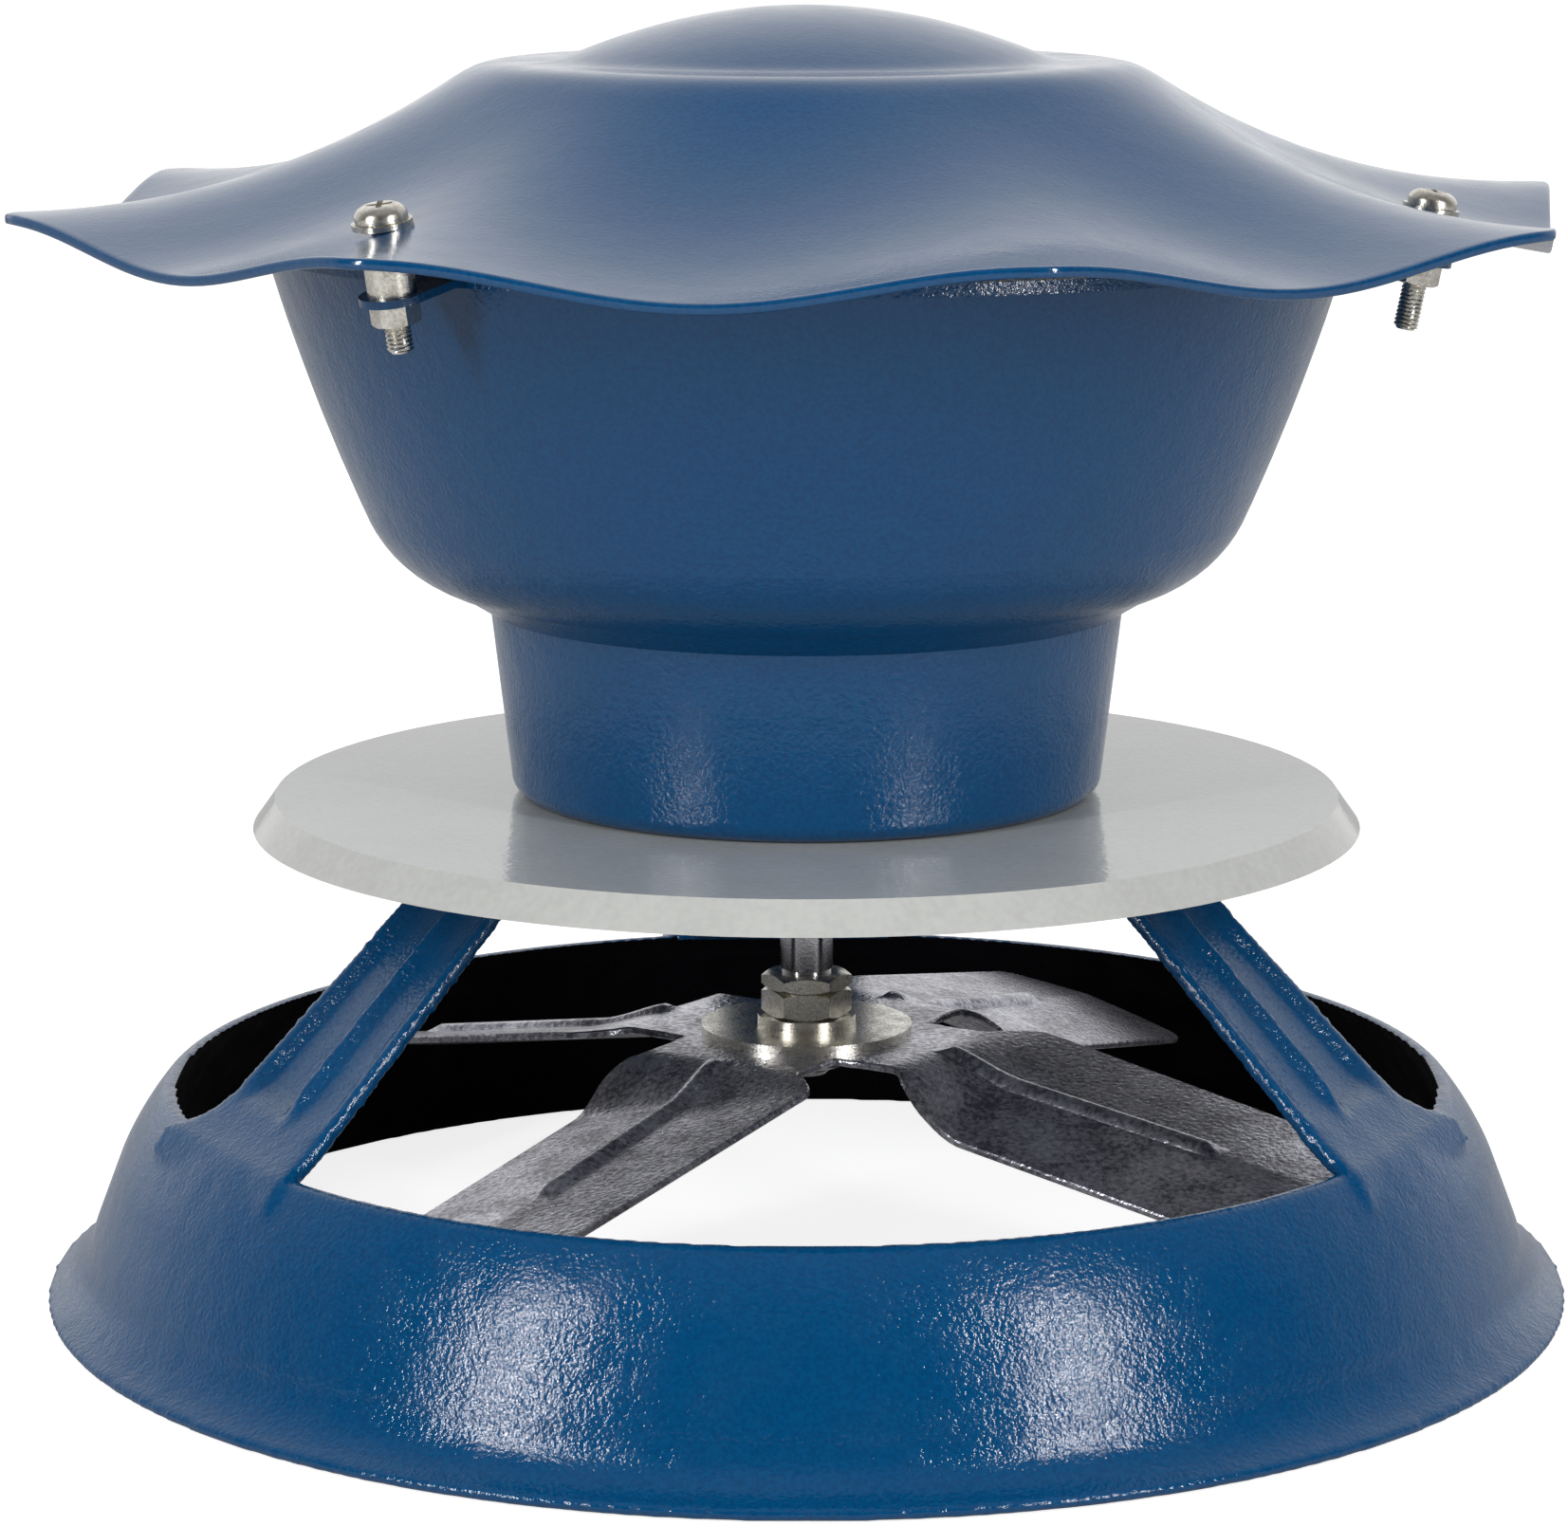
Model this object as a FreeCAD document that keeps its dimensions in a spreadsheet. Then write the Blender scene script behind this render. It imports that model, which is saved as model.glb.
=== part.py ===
import FreeCAD, Part
import Sketcher
import math
import os

# Chimney fan, millimetres. The origin is the centre of the base flange's
# underside, +Z is up the shaft, and the side seen in the photograph faces -Y.

V = FreeCAD.Vector
doc = FreeCAD.newDocument("ChimneyFan")

# Driving dimensions

SIZES = {
    # base casting
    "flange_radius": 155.0,
    "flange_edge": 2.0,
    "flange_width": 9.5,
    "flange_rise": 13.5,
    "flange_bow": 2.25,
    "skirt_lean": 5.9,
    "skirt_belly_height": 29.0,
    "skirt_shoulder": 9.2,
    "skirt_shoulder_bow": 0.6,
    "skirt_top_height": 43.4,
    "casting_wall": 3.0,
    "seat_radius": 66.0,
    "seat_underside": 97.0,
    "seat_thickness": 4.0,
    "arm_count": 3,
    "arm_angle": -58.4,
    "arm_thickness": 3.6,
    "arm_slope": 44.5,
    "arm_foot_inset": 3.9,
    "arm_foot_drop": 1.8,
    "arm_foot_width": 47.0,
    "arm_flare_length": 9.0,
    "arm_flare_width": 39.0,
    "arm_knee_overhang": 6.0,
    "arm_knee_width": 29.0,
    "arm_seat_overlap": 4.0,
    "arm_ridge_width": 5.0,
    "arm_edge_width": 3.0,
    "arm_rib_height": 1.4,
    "arm_rib_foot_gap": 8.5,
    "arm_rib_fade": 4.0,
    "arm_rib_knee_gap": 3.0,
    # heat shield
    "shield_thickness": 1.5,
    "shield_fold_radius": 107.3,
    "shield_lip_radius": 111.7,
    "shield_lip_drop": 6.2,
    # motor housing, a spun bowl on a narrower neck
    "housing_wall": 1.5,
    "neck_foot_radius": 59.6,
    "neck_corner": 4.0,
    "neck_top_radius": 63.5,
    "neck_height": 37.5,
    "bowl_floor_radius": 71.0,
    "bowl_floor_rise": 4.5,
    "bowl_turn_radius": 87.5,
    "bowl_turn_rise": 18.5,
    "bowl_turn_bow": 2.3,
    "bowl_rim_radius": 107.0,
    "bowl_rim_height": 214.6,
    "bowl_side_bow": 1.0,
    "rim_flange": 2.5,
    "rim_depth": 2.5,
    "ear_width": 12.5,
    "ear_thickness": 1.5,
    "grommet_drop": 24.6,
    "grommet_hole": 5.0,
    "grommet_lip": 2.0,
    "cable_hole": 3.5,
    "grommet_length": 9.0,
    # rain cap
    "cap_thickness": 2.0,
    "cap_lobes": 8,
    "cap_turn": 15.0,
    "cap_corner_radius": 158.6,
    "cap_corner_lift": 7.1,
    "cap_droop": 7.5,
    "cap_plateau_radius": 65.0,
    "cap_rise": 27.0,
    "cap_flare": 2.2,
    "cap_dome_radius": 49.0,
    "cap_dome_rise": 10.7,
    # cap screws
    "cap_screw_count": 3,
    "cap_screw_angle": -38.0,
    "cap_screw_offset": 14.0,
    "cap_screw_lean": 11.0,
    "cap_screw_radius": 2.5,
    "cap_screw_length": 24.0,
    "cap_screw_head_radius": 4.9,
    "cap_screw_head_height": 3.4,
    "cap_washer_radius": 5.6,
    "cap_washer_thickness": 1.0,
    "cap_sleeve_radius": 4.5,
    "cap_nut_flats": 8.0,
    "cap_nut_height": 4.3,
    # drive motor
    "motor_radius": 50.0,
    "motor_wall": 7.0,
    "bell_floor": 8.0,
    "bell_depth": 14.0,
    "stack_height": 30.0,
    "air_gap": 0.3,
    "rotor_radius": 30.0,
    "winding_inner": 33.0,
    "winding_outer": 41.5,
    "winding_height": 10.0,
    "bearing_outer": 16.0,
    "bearing_inner": 9.0,
    "bearing_width": 10.0,
    "bearing_boss_wall": 4.0,
    "shaft_radius": 6.0,
    "shaft_end_radius": 5.0,
    "shaft_neck_radius": 5.4,
    "shaft_step": 90.0,
    "shaft_tail": 9.0,
    "shaft_top_gap": 4.0,
    "shaft_chamfer": 1.0,
    "shaft_hole": 8.5,
    "tie_bolt_count": 4,
    "tie_bolt_angle": 0.0,
    "tie_bolt_circle": 46.5,
    "tie_bolt_radius": 2.0,
    "tie_bolt_head_radius": 3.6,
    "tie_bolt_head": 4.0,
    "tie_bolt_grip": 12.0,
    "mount_bolt_count": 4,
    "mount_bolt_angle": 45.0,
    "mount_bolt_circle": 34.0,
    "mount_bolt_radius": 3.0,
    "mount_bolt_flats": 10.0,
    "mount_bolt_head": 4.0,
    "mount_bolt_grip": 6.0,
    "mount_bolt_end_gap": 1.0,
    "hole_clearance": 0.3,
    # fan
    "hub_height": 52.0,
    "fan_sheet": 1.5,
    "hub_radius": 29.0,
    "hub_disc_radius": 21.5,
    "hub_disc_thickness": 1.5,
    "blade_count": 4,
    "blade_angle": -32.0,
    "blade_stem_start": 18.0,
    "blade_stem_end": 31.0,
    "blade_stem_width": 35.0,
    "blade_root_radius": 50.0,
    "blade_root_width": 42.0,
    "blade_root_drop": 6.0,
    "blade_tip_gap": 11.4,
    "blade_tip_width": 44.0,
    "blade_tip_drop": 19.0,
    "blade_trim": 6.0,
    "blade_low_pitch": 16.0,
    "blade_high_pitch": 4.0,
    "blade_rib_width": 4.4,
    "blade_rib_pitch": 26.0,
    "blade_rib_sheet": 1.2,
    "blade_rib_start": 34.0,
    "blade_rib_end": 92.0,
    "blade_rib_fade": 3.5,
    "hub_washer_radius": 10.0,
    "hub_washer_thickness": 2.0,
    "hub_nut_flats": 16.0,
    "hub_nut_height": 5.5,
    "hub_lock_nut_height": 3.2,
}

# Counts and shares that aren't sizes of the object

HEXAGON_SIDES = 6
# how far a drill reaches past the faces that it cuts
DRILL_PAST = 1.0
# the height of a quarter circle over its chord, for a radius of 1
QUARTER_BOW = 1 - math.sqrt(0.5)
# points that the cap's surface goes through in each lobe, round it and outwards
LOBE_COLUMNS = 6
LOBE_ROWS = 9
# points round a screw, and steps, with which its seat on the cap is found
RING_POINTS = 12
SEARCH_STEPS = 5
# shares of a pan head's height and radius
HEAD_ROUND = 0.6
SLOT_LENGTH = 1.1
SLOT_WIDTH = 0.25
SLOT_DEPTH = 0.5

sheet = doc.addObject("Spreadsheet::Sheet", "Sizes")
for row, (alias, number) in enumerate(SIZES.items(), start=1):
    sheet.set("A%d" % row, alias)
    sheet.set("B%d" % row, str(number))
    sheet.setAlias("B%d" % row, alias)
doc.recompute()


class Size:
    """A length or an angle: its number, and the expression that gives it from the sheet."""

    def __init__(self, value, text):
        self.value = value
        self.text = text

    def __add__(self, other):
        other = size(other)
        return Size(self.value + other.value, "(%s + %s)" % (self.text, other.text))

    def __sub__(self, other):
        other = size(other)
        return Size(self.value - other.value, "(%s - %s)" % (self.text, other.text))

    def __mul__(self, other):
        other = size(other)
        return Size(self.value * other.value, "(%s * %s)" % (self.text, other.text))

    def __truediv__(self, other):
        other = size(other)
        return Size(self.value / other.value, "(%s / %s)" % (self.text, other.text))

    def __neg__(self):
        return Size(-self.value, "(0 - %s)" % self.text)


def size(name):
    """A named size of the sheet, a plain number, or a size that is one already."""
    if isinstance(name, Size):
        return name
    if isinstance(name, str):
        return Size(float(sheet.get(name)), "Sizes." + name)
    return Size(float(name), repr(float(name)))


def tangent(angle):
    return Size(math.tan(math.radians(angle.value)), "tan(%s * 1 deg)" % angle.text)


def cosine(angle):
    return Size(math.cos(math.radians(angle.value)), "cos(%s * 1 deg)" % angle.text)


def bind(thing, prop, value):
    value = size(value)
    thing.setExpression(prop, value.text)


# Helpers for sketches, turned pieces and straps

def bowed_radius(before, after, bow):
    """Radius of the arc from one corner to the next that stands out by bow at its middle."""
    across = after[0] - before[0]
    up = after[1] - before[1]
    return (across * across + up * up) / (bow * 8) + bow / 2


def arc_between(start, end, radius, turn):
    """An arc from start to end. turn is 1 for anticlockwise and -1 for clockwise."""
    chord = end - start
    half = chord.Length / 2
    rise = math.sqrt(max(radius * radius - half * half, 0.0))
    side = V(-chord.y, chord.x, 0).normalize() * (rise * turn)
    centre = start + chord * 0.5 + side
    first, last = (start, end) if turn > 0 else (end, start)
    angle_first = math.atan2(first.y - centre.y, first.x - centre.x)
    angle_last = math.atan2(last.y - centre.y, last.x - centre.x)
    return Part.ArcOfCircle(Part.Circle(centre, V(0, 0, 1), radius), angle_first, angle_last)


def pin(sketch, geometry, end, across, up):
    """Fix one end of a sketch edge at two sizes from the sketch's origin."""
    for kind, value, axis in (("DistanceX", across, -2), ("DistanceY", up, -1)):
        if value.value == 0:
            sketch.addConstraint(Sketcher.Constraint("PointOnObject", geometry, end, axis))
        else:
            made = sketch.addConstraint(
                Sketcher.Constraint(kind, -1, 1, geometry, end, value.value))
            bind(sketch, "Constraints[%d]" % made, value)


def outline(sketch, corners):
    """Close a loop through the corners. A corner is (across, up), and one that an arc
    runs to is (across, up, bow, turn), where bow is the arc's height over its chord."""
    corners = [(size(c[0]), size(c[1])) + tuple(c[2:]) for c in corners]
    points = [V(c[0].value, c[1].value, 0) for c in corners]
    ends = []
    for i, corner in enumerate(corners):
        following = corners[(i + 1) % len(corners)]
        start, end = points[i], points[(i + 1) % len(corners)]
        if len(following) == 4:
            radius = bowed_radius(corner, following, size(following[2]))
            turn = following[3]
            made = sketch.addGeometry(arc_between(start, end, radius.value, turn))
            rule = sketch.addConstraint(Sketcher.Constraint("Radius", made, radius.value))
            bind(sketch, "Constraints[%d]" % rule, radius)
            ends.append((made, 1, 2) if turn > 0 else (made, 2, 1))
        else:
            made = sketch.addGeometry(Part.LineSegment(start, end))
            ends.append((made, 1, 2))
    for i, (made, first, last) in enumerate(ends):
        before, _, before_last = ends[i - 1]
        sketch.addConstraint(
            Sketcher.Constraint("Coincident", before, before_last, made, first))
        pin(sketch, made, first, corners[i][0], corners[i][1])


def body_sketch(body, role, name):
    plane = [p for p in body.Origin.OriginFeatures if p.Role == role][0]
    sketch = body.newObject("Sketcher::SketchObject", name)
    sketch.AttachmentSupport = [(plane, "")]
    sketch.MapMode = "FlatFace"
    return sketch


def turned(name, corners):
    """A body turned about Z. Its corners are (radius, height)."""
    body = doc.addObject("PartDesign::Body", name)
    sketch = body_sketch(body, "XZ_Plane", name + "_section")
    outline(sketch, corners)
    spin = body.newObject("PartDesign::Revolution", name + "_turn")
    spin.Profile = sketch
    spin.ReferenceAxis = (sketch, ["V_Axis"])
    spin.Angle = 360.0
    return body


def tube(name, inner, outer, bottom, top):
    return turned(name, [(inner, bottom), (outer, bottom), (outer, top), (inner, top)])


def cylinder(name, radius, bottom, height):
    made = doc.addObject("Part::Cylinder", name)
    bind(made, "Radius", radius)
    bind(made, "Height", height)
    bind(made, "Placement.Base.z", bottom)
    return made


def hexagon(name, flats, bottom, height):
    made = doc.addObject("Part::Prism", name)
    made.Polygon = HEXAGON_SIDES
    bind(made, "Circumradius", size(flats) / 2 / cosine(size(180.0 / HEXAGON_SIDES)))
    bind(made, "Height", height)
    bind(made, "Placement.Base.z", bottom)
    return made


def fused(name, parts):
    made = doc.addObject("Part::MultiFuse", name)
    made.Shapes = parts
    made.Refine = True
    return made


def cut(name, base, tool):
    made = doc.addObject("Part::Cut", name)
    made.Base = base
    made.Tool = tool
    return made


def feature(name, shape):
    made = doc.addObject("Part::Feature", name)
    made.Shape = shape
    return made


def around(name, source, count, first, circle):
    """Copies of one piece on a circle, as a group. Angles run from -Y towards +X."""
    doc.recompute()
    shapes = []
    for i in range(int(size(count).value)):
        angle = size(first).value + 360.0 * i / size(count).value
        shape = source.Shape.copy()
        shape.translate(V(size(circle).value, 0, 0))
        shape.rotate(V(0, 0, 0), V(0, 0, 1), angle - 90)
        shapes.append(shape)
    return feature(name, Part.makeCompound(shapes))


def strap_section(name, out, middle, width, thickness, low_pitch=0, high_pitch=0, aside=0):
    """A strap's cross-section, at a distance out along X, creased along its middle line.
    Each half climbs towards +Y by its own pitch, and aside moves the whole to that side."""
    sketch = doc.addObject("Sketcher::SketchObject", name)
    sketch.Placement = FreeCAD.Placement(V(0, 0, 0), FreeCAD.Rotation(V(1, 1, 1), 120))
    bind(sketch, "Placement.Base.x", out)
    half = size(width) / 2
    thick = size(thickness) / 2
    line = [(size(aside) - half, size(middle) - half * tangent(size(low_pitch))),
            (size(aside), size(middle)),
            (size(aside) + half, size(middle) + half * tangent(size(high_pitch)))]
    under = [(across, up - thick) for across, up in line]
    over = [(across, up + thick) for across, up in reversed(line)]
    outline(sketch, under + over)
    return sketch


def strap(name, sections):
    made = doc.addObject("Part::Loft", name)
    made.Sections = [strap_section("%s_section_%d" % (name, i), *section)
                     for i, section in enumerate(sections)]
    made.Solid = True
    made.Ruled = True
    return made


# Heights that follow from the sizes

seat_top = size("seat_underside") + size("seat_thickness")
shield_top = seat_top + size("shield_thickness")
housing_floor = shield_top + size("housing_wall")
bell_lower_floor = housing_floor + size("bell_floor")
stack_bottom = bell_lower_floor + size("bell_depth")
stack_top = stack_bottom + size("stack_height")
bell_upper_floor = stack_top + size("bell_depth")
motor_top = bell_upper_floor + size("bell_floor")
mount_hole = size("mount_bolt_radius") + size("hole_clearance")
skirt_foot = size("flange_radius") - size("flange_width")
skirt_belly = skirt_foot - size("skirt_lean")
skirt_top = skirt_belly - size("skirt_shoulder")
cap_screw_circle = size("bowl_rim_radius") + size("cap_screw_offset")
grommet_height = size("bowl_rim_height") - size("grommet_drop")
cap_corner_height = size("bowl_rim_height") + size("cap_corner_lift")
cap_plateau_height = cap_corner_height + size("cap_rise")
hub_disc_top = size("hub_height") + size("hub_disc_thickness")
hub_washer_top = hub_disc_top + size("hub_washer_thickness")
nut_stack_top = hub_washer_top + size("hub_nut_height") + size("hub_lock_nut_height")


def holes(name, radius, bottom, height, bolts):
    """Drills through a plate on the circle of the bolts named, a little past both faces."""
    drill = cylinder(name + "_drill", radius, bottom - DRILL_PAST, height + DRILL_PAST * 2)
    return around(name, drill, bolts + "_count", bolts + "_angle", bolts + "_circle")


# Base casting: skirt ring with its flange, three ribbed arms and the seat for the housing

def base_frame():
    wall = size("casting_wall")
    shoulder_bow = size("skirt_shoulder_bow")
    skirt = turned("skirt", [
        (skirt_foot - wall, 0),
        ("flange_radius", 0),
        ("flange_radius", "flange_edge"),
        (skirt_foot, "flange_rise", "flange_bow", -1),
        (skirt_belly, "skirt_belly_height"),
        (skirt_top, "skirt_top_height", shoulder_bow, 1),
        (skirt_top - wall, "skirt_top_height"),
        (skirt_belly - wall, "skirt_belly_height", shoulder_bow, -1),
        (skirt_foot - wall, "flange_rise"),
    ])
    seat = tube("seat", "shaft_hole", "seat_radius", "seat_underside", seat_top)
    arms = around("arms", ribbed_arm(), "arm_count", "arm_angle", 0)
    solid = fused("casting", [skirt, seat, arms])
    drills = holes("seat_drills", mount_hole, size("seat_underside"), size("seat_thickness"),
                   "mount_bolt")
    return cut("base_frame", solid, drills)


def ribbed_arm():
    """A sloping strap from the skirt up to the seat, with a ridge and two raised edges."""
    thick = size("arm_thickness")
    knee = size("seat_radius") + size("arm_knee_overhang")
    foot = skirt_top - size("arm_foot_inset")
    foot_height = size("skirt_top_height") - size("arm_foot_drop")
    slope = tangent(size("arm_slope"))
    steep = thick / cosine(size("arm_slope"))
    flare = foot - size("arm_flare_length")

    def middle(out):
        return foot_height + (foot - out) * slope

    def half_width(out):
        spread = (size("arm_flare_width") - size("arm_knee_width")) / (flare - knee)
        return (size("arm_knee_width") + spread * (out - knee)) / 2

    arm = strap("arm", [
        (foot, foot_height, "arm_foot_width", steep),
        (flare, middle(flare), "arm_flare_width", steep),
        (knee, middle(knee), "arm_knee_width", steep),
        (size("seat_radius") - size("arm_seat_overlap"), seat_top - thick / 2,
         "arm_knee_width", thick),
    ])
    low = foot - size("arm_rib_foot_gap")
    fade = low - size("arm_rib_fade")
    high = knee + size("arm_rib_knee_gap")
    pieces = [arm]
    for name, width, side in (("arm_ridge", "arm_ridge_width", 0),
                              ("arm_left_edge", "arm_edge_width", -1),
                              ("arm_right_edge", "arm_edge_width", 1)):
        sections = []
        for out, height in ((low, size("arm_rib_height") / 4),
                            (fade, size("arm_rib_height")),
                            (high, size("arm_rib_height"))):
            aside = (half_width(out) - size(width) / 2) * size(side)
            sections.append((out, middle(out) + steep / 2, width, height * 2, 0, 0, aside))
        pieces.append(strap(name, sections))
    return fused("ribbed_arm", pieces)


# Heat shield: a flat disc with a sloping lip

def heat_shield():
    t = size("shield_thickness")
    fold = size("shield_fold_radius")
    lip = size("shield_lip_radius")
    drop = size("shield_lip_drop")
    disc = turned("shield_blank", [
        ("shaft_hole", shield_top),
        ("shaft_hole", seat_top),
        (fold - t / 2, seat_top),
        (lip - t, shield_top - drop),
        (lip, shield_top - drop),
        (fold, shield_top),
    ])
    drills = holes("shield_drills", mount_hole, seat_top, t, "mount_bolt")
    return cut("heat_shield", disc, drills)


# Motor housing: neck, bowl, rolled rim and three ears for the cap screws

def motor_housing():
    wall = size("housing_wall")
    corner = size("neck_corner")
    foot = size("neck_foot_radius")
    neck_top = shield_top + size("neck_height")
    floor_rise = neck_top + size("bowl_floor_rise")
    turn_rise = neck_top + size("bowl_turn_rise")
    rim = size("bowl_rim_radius")
    top = size("bowl_rim_height")
    flange = rim + size("rim_flange")
    flange_low = top - size("rim_depth")
    shell = turned("housing_shell", [
        ("shaft_hole", shield_top),
        (foot - corner, shield_top),
        (foot, shield_top + corner, corner * QUARTER_BOW, 1),
        ("neck_top_radius", neck_top),
        ("bowl_floor_radius", floor_rise),
        ("bowl_turn_radius", turn_rise, "bowl_turn_bow", 1),
        (rim, flange_low, "bowl_side_bow", 1),
        (flange, flange_low),
        (flange, top),
        (rim - wall, top),
        (size("bowl_turn_radius") - wall, turn_rise, "bowl_side_bow", -1),
        (size("bowl_floor_radius") - wall / 2, floor_rise + wall, "bowl_turn_bow", -1),
        (size("neck_top_radius") - wall, neck_top + wall / 2),
        (foot - wall, shield_top + corner),
        (foot - corner, housing_floor, (corner - wall) * QUARTER_BOW, -1),
        ("shaft_hole", housing_floor),
    ])
    # an ear runs out from the rolled rim, square to its screw, and ends round it
    half = size("ear_width").value / 2
    thickness = size("ear_thickness").value
    strip = Part.makeBox(ear_length(), 2 * half, thickness, V(-ear_length(), -half, 0))
    ear = strip.fuse(Part.makeCylinder(half, thickness)).removeSplitter()
    solid = fused("housing_with_ears", [shell, at_screws("ears", ear)])
    ear_drill = Part.makeCylinder(size("cap_screw_radius").value + size("hole_clearance").value,
                                  thickness + 2 * DRILL_PAST, V(0, 0, -DRILL_PAST))
    ear_drills = at_screws("ear_drills", ear_drill)
    floor_drills = holes("floor_drills", mount_hole, shield_top, wall, "mount_bolt")
    cable = doc.addObject("Part::Cylinder", "cable_drill")
    bind(cable, "Radius", "grommet_hole")
    bind(cable, "Height", rim)
    cable.Placement = FreeCAD.Placement(V(0, 0, 0), FreeCAD.Rotation(V(1, 0, 0), -90))
    bind(cable, "Placement.Base.z", grommet_height)
    bind(cable, "Placement.Base.y", rim / 2)
    drills = fused("housing_drills", [ear_drills, floor_drills, cable])
    return cut("motor_housing", solid, drills)


# Rubber grommet in the cable hole at the back of the bowl

def housing_radius(height):
    """The outer radius of the bowl's side at a height, along its chord."""
    low = shield_top + size("neck_height") + size("bowl_turn_rise")
    share = (size(height) - low) / (size("bowl_rim_height") - size("rim_depth") - low)
    return size("bowl_turn_radius") + (size("bowl_rim_radius") - size("bowl_turn_radius")) * share


def cable_grommet(housing):
    """A ring with two lips, shaped to the wall that it is pressed into."""
    wall_at = housing_radius(grommet_height)
    lip = size("grommet_hole") + size("grommet_lip")
    length = size("grommet_length")
    ring = turned("grommet_ring", [("cable_hole", 0), (lip, 0), (lip, length),
                                   ("cable_hole", length)])
    ring.Placement = FreeCAD.Placement(V(0, 0, 0), FreeCAD.Rotation(V(1, 0, 0), -90))
    bind(ring, "Placement.Base.z", grommet_height)
    bind(ring, "Placement.Base.y", wall_at - length / 2)
    cut("cable_grommet", ring, housing)


# Rain cap: pressed sheet, a dome on a round plateau and a skirt with drooping sides

def cap_top(radius, azimuth):
    """Height of the cap's upper face. Azimuth is in degrees from a corner."""
    plateau = size("cap_plateau_radius").value
    dome = size("cap_dome_radius").value
    top = cap_plateau_height.value
    corner = size("cap_corner_radius").value
    tip = cap_corner_height.value
    if radius <= dome:
        return top + size("cap_dome_rise").value * (1 - (radius / dome) ** 2)
    if radius <= plateau:
        return top
    share = (radius - plateau) / (corner - plateau)
    crest = tip + (top - tip) * (1 - share) ** size("cap_flare").value
    side = corner * math.cos(math.pi / size("cap_lobes").value)
    droop = size("cap_droop").value * (radius - plateau) / (side - plateau)
    wave = (1 - math.cos(math.radians(azimuth * size("cap_lobes").value))) / 2
    return crest - droop * wave


def cap_edge(azimuth):
    """Distance from the axis to the cap's straight side, between two corners."""
    lobes = size("cap_lobes").value
    half = 180.0 / lobes
    off = (azimuth % (2 * half)) - half
    middle = size("cap_corner_radius").value * math.cos(math.radians(half))
    return middle / math.cos(math.radians(off))


def cap_face(lobe, drop):
    """One lobe of the skirt, from corner to corner, lowered by drop."""
    step = 360.0 / size("cap_lobes").value
    inner = size("cap_plateau_radius").value
    grid = []
    for i in range(LOBE_COLUMNS + 1):
        azimuth = step * i / LOBE_COLUMNS
        outer = cap_edge(azimuth)
        turn = math.radians(azimuth + step * lobe + size("cap_turn").value - 90)
        line = []
        for k in range(LOBE_ROWS + 1):
            r = inner + (outer - inner) * k / LOBE_ROWS
            line.append(V(r * math.cos(turn), r * math.sin(turn), cap_top(r, azimuth) - drop))
        grid.append(line)
    surface = Part.BSplineSurface()
    surface.interpolate(grid)
    return surface


def cap_dome(drop):
    """The domed middle of the cap, lowered by drop, and the circle round its foot."""
    radius = size("cap_dome_radius").value
    foot = cap_plateau_height.value - drop
    rise = size("cap_dome_rise").value
    sphere = (radius ** 2 + rise ** 2) / (2 * rise)
    middle = math.asin(radius / sphere) / 2
    centre = foot + rise - sphere
    arc = Part.Arc(V(0, 0, foot + rise),
                   V(sphere * math.sin(middle), 0, centre + sphere * math.cos(middle)),
                   V(radius, 0, foot))
    circle = Part.Circle(V(0, 0, foot), V(0, 0, 1), radius)
    return arc.toShape().revolve(V(0, 0, 0), V(0, 0, 1), 360), circle.toShape()


def rain_cap():
    thickness = size("cap_thickness").value
    faces = []
    rims = {0.0: [], thickness: []}
    for lobe in range(int(size("cap_lobes").value)):
        edges = []
        for drop in (0.0, thickness):
            surface = cap_face(lobe, drop)
            faces.append(surface.toShape())
            low_v, high_v = surface.bounds()[2:]
            rims[drop].append(surface.vIso(low_v).toShape())
            edges.append(surface.vIso(high_v).toShape())
        faces.append(Part.makeRuledSurface(edges[0], edges[1]))
    for drop, rim in rims.items():
        dome, circle = cap_dome(drop)
        outer = Part.Wire(Part.__sortEdges__(rim))
        faces += [dome, Part.Face(outer).cut(Part.Face(Part.Wire(circle))).Faces[0]]
    shell = Part.makeShell(faces)
    shell.sewShape()
    solid = Part.makeSolid(Part.Shell(shell.Faces))
    if solid.Volume < 0:
        solid.reverse()
    drill = Part.makeCylinder(size("cap_screw_radius").value + size("hole_clearance").value,
                              size("cap_screw_length").value)
    for place in screw_places():
        tool = drill.copy()
        tool.Placement = place
        solid = solid.cut(tool)
    return feature("rain_cap", solid)


# Cap screws: each stands square on the leaning cap, so its nut is nearer to the axis

def ear_length():
    """Distance from the rim to the screw, along the leaning ear."""
    return size("cap_screw_offset").value / cosine(size("cap_screw_lean")).value


def screw_places():
    """Placements of the cap screws. Each starts under its ear, with Z up along the screw."""
    lean = size("cap_screw_lean")
    sunk = size("ear_thickness").value / cosine(lean).value
    fall = size("cap_screw_offset").value * tangent(lean).value
    start = V(cap_screw_circle.value, 0, size("bowl_rim_height").value - sunk - fall)
    places = []
    for i in range(int(size("cap_screw_count").value)):
        angle = size("cap_screw_angle").value + 360.0 * i / size("cap_screw_count").value - 90
        turn = FreeCAD.Rotation(V(0, 0, 1), angle)
        leaning = FreeCAD.Rotation(V(0, 1, 0), lean.value)
        places.append(FreeCAD.Placement(turn.multVec(start), turn.multiply(leaning)))
    return places


def at_screws(name, shape):
    """A group with the shape, or one of a list of shapes, at each cap screw."""
    placed = []
    for i, place in enumerate(screw_places()):
        one = shape[i] if isinstance(shape, list) else shape.copy()
        one.Placement = place.multiply(one.Placement)
        placed.append(one)
    return feature(name, Part.makeCompound(placed))


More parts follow.
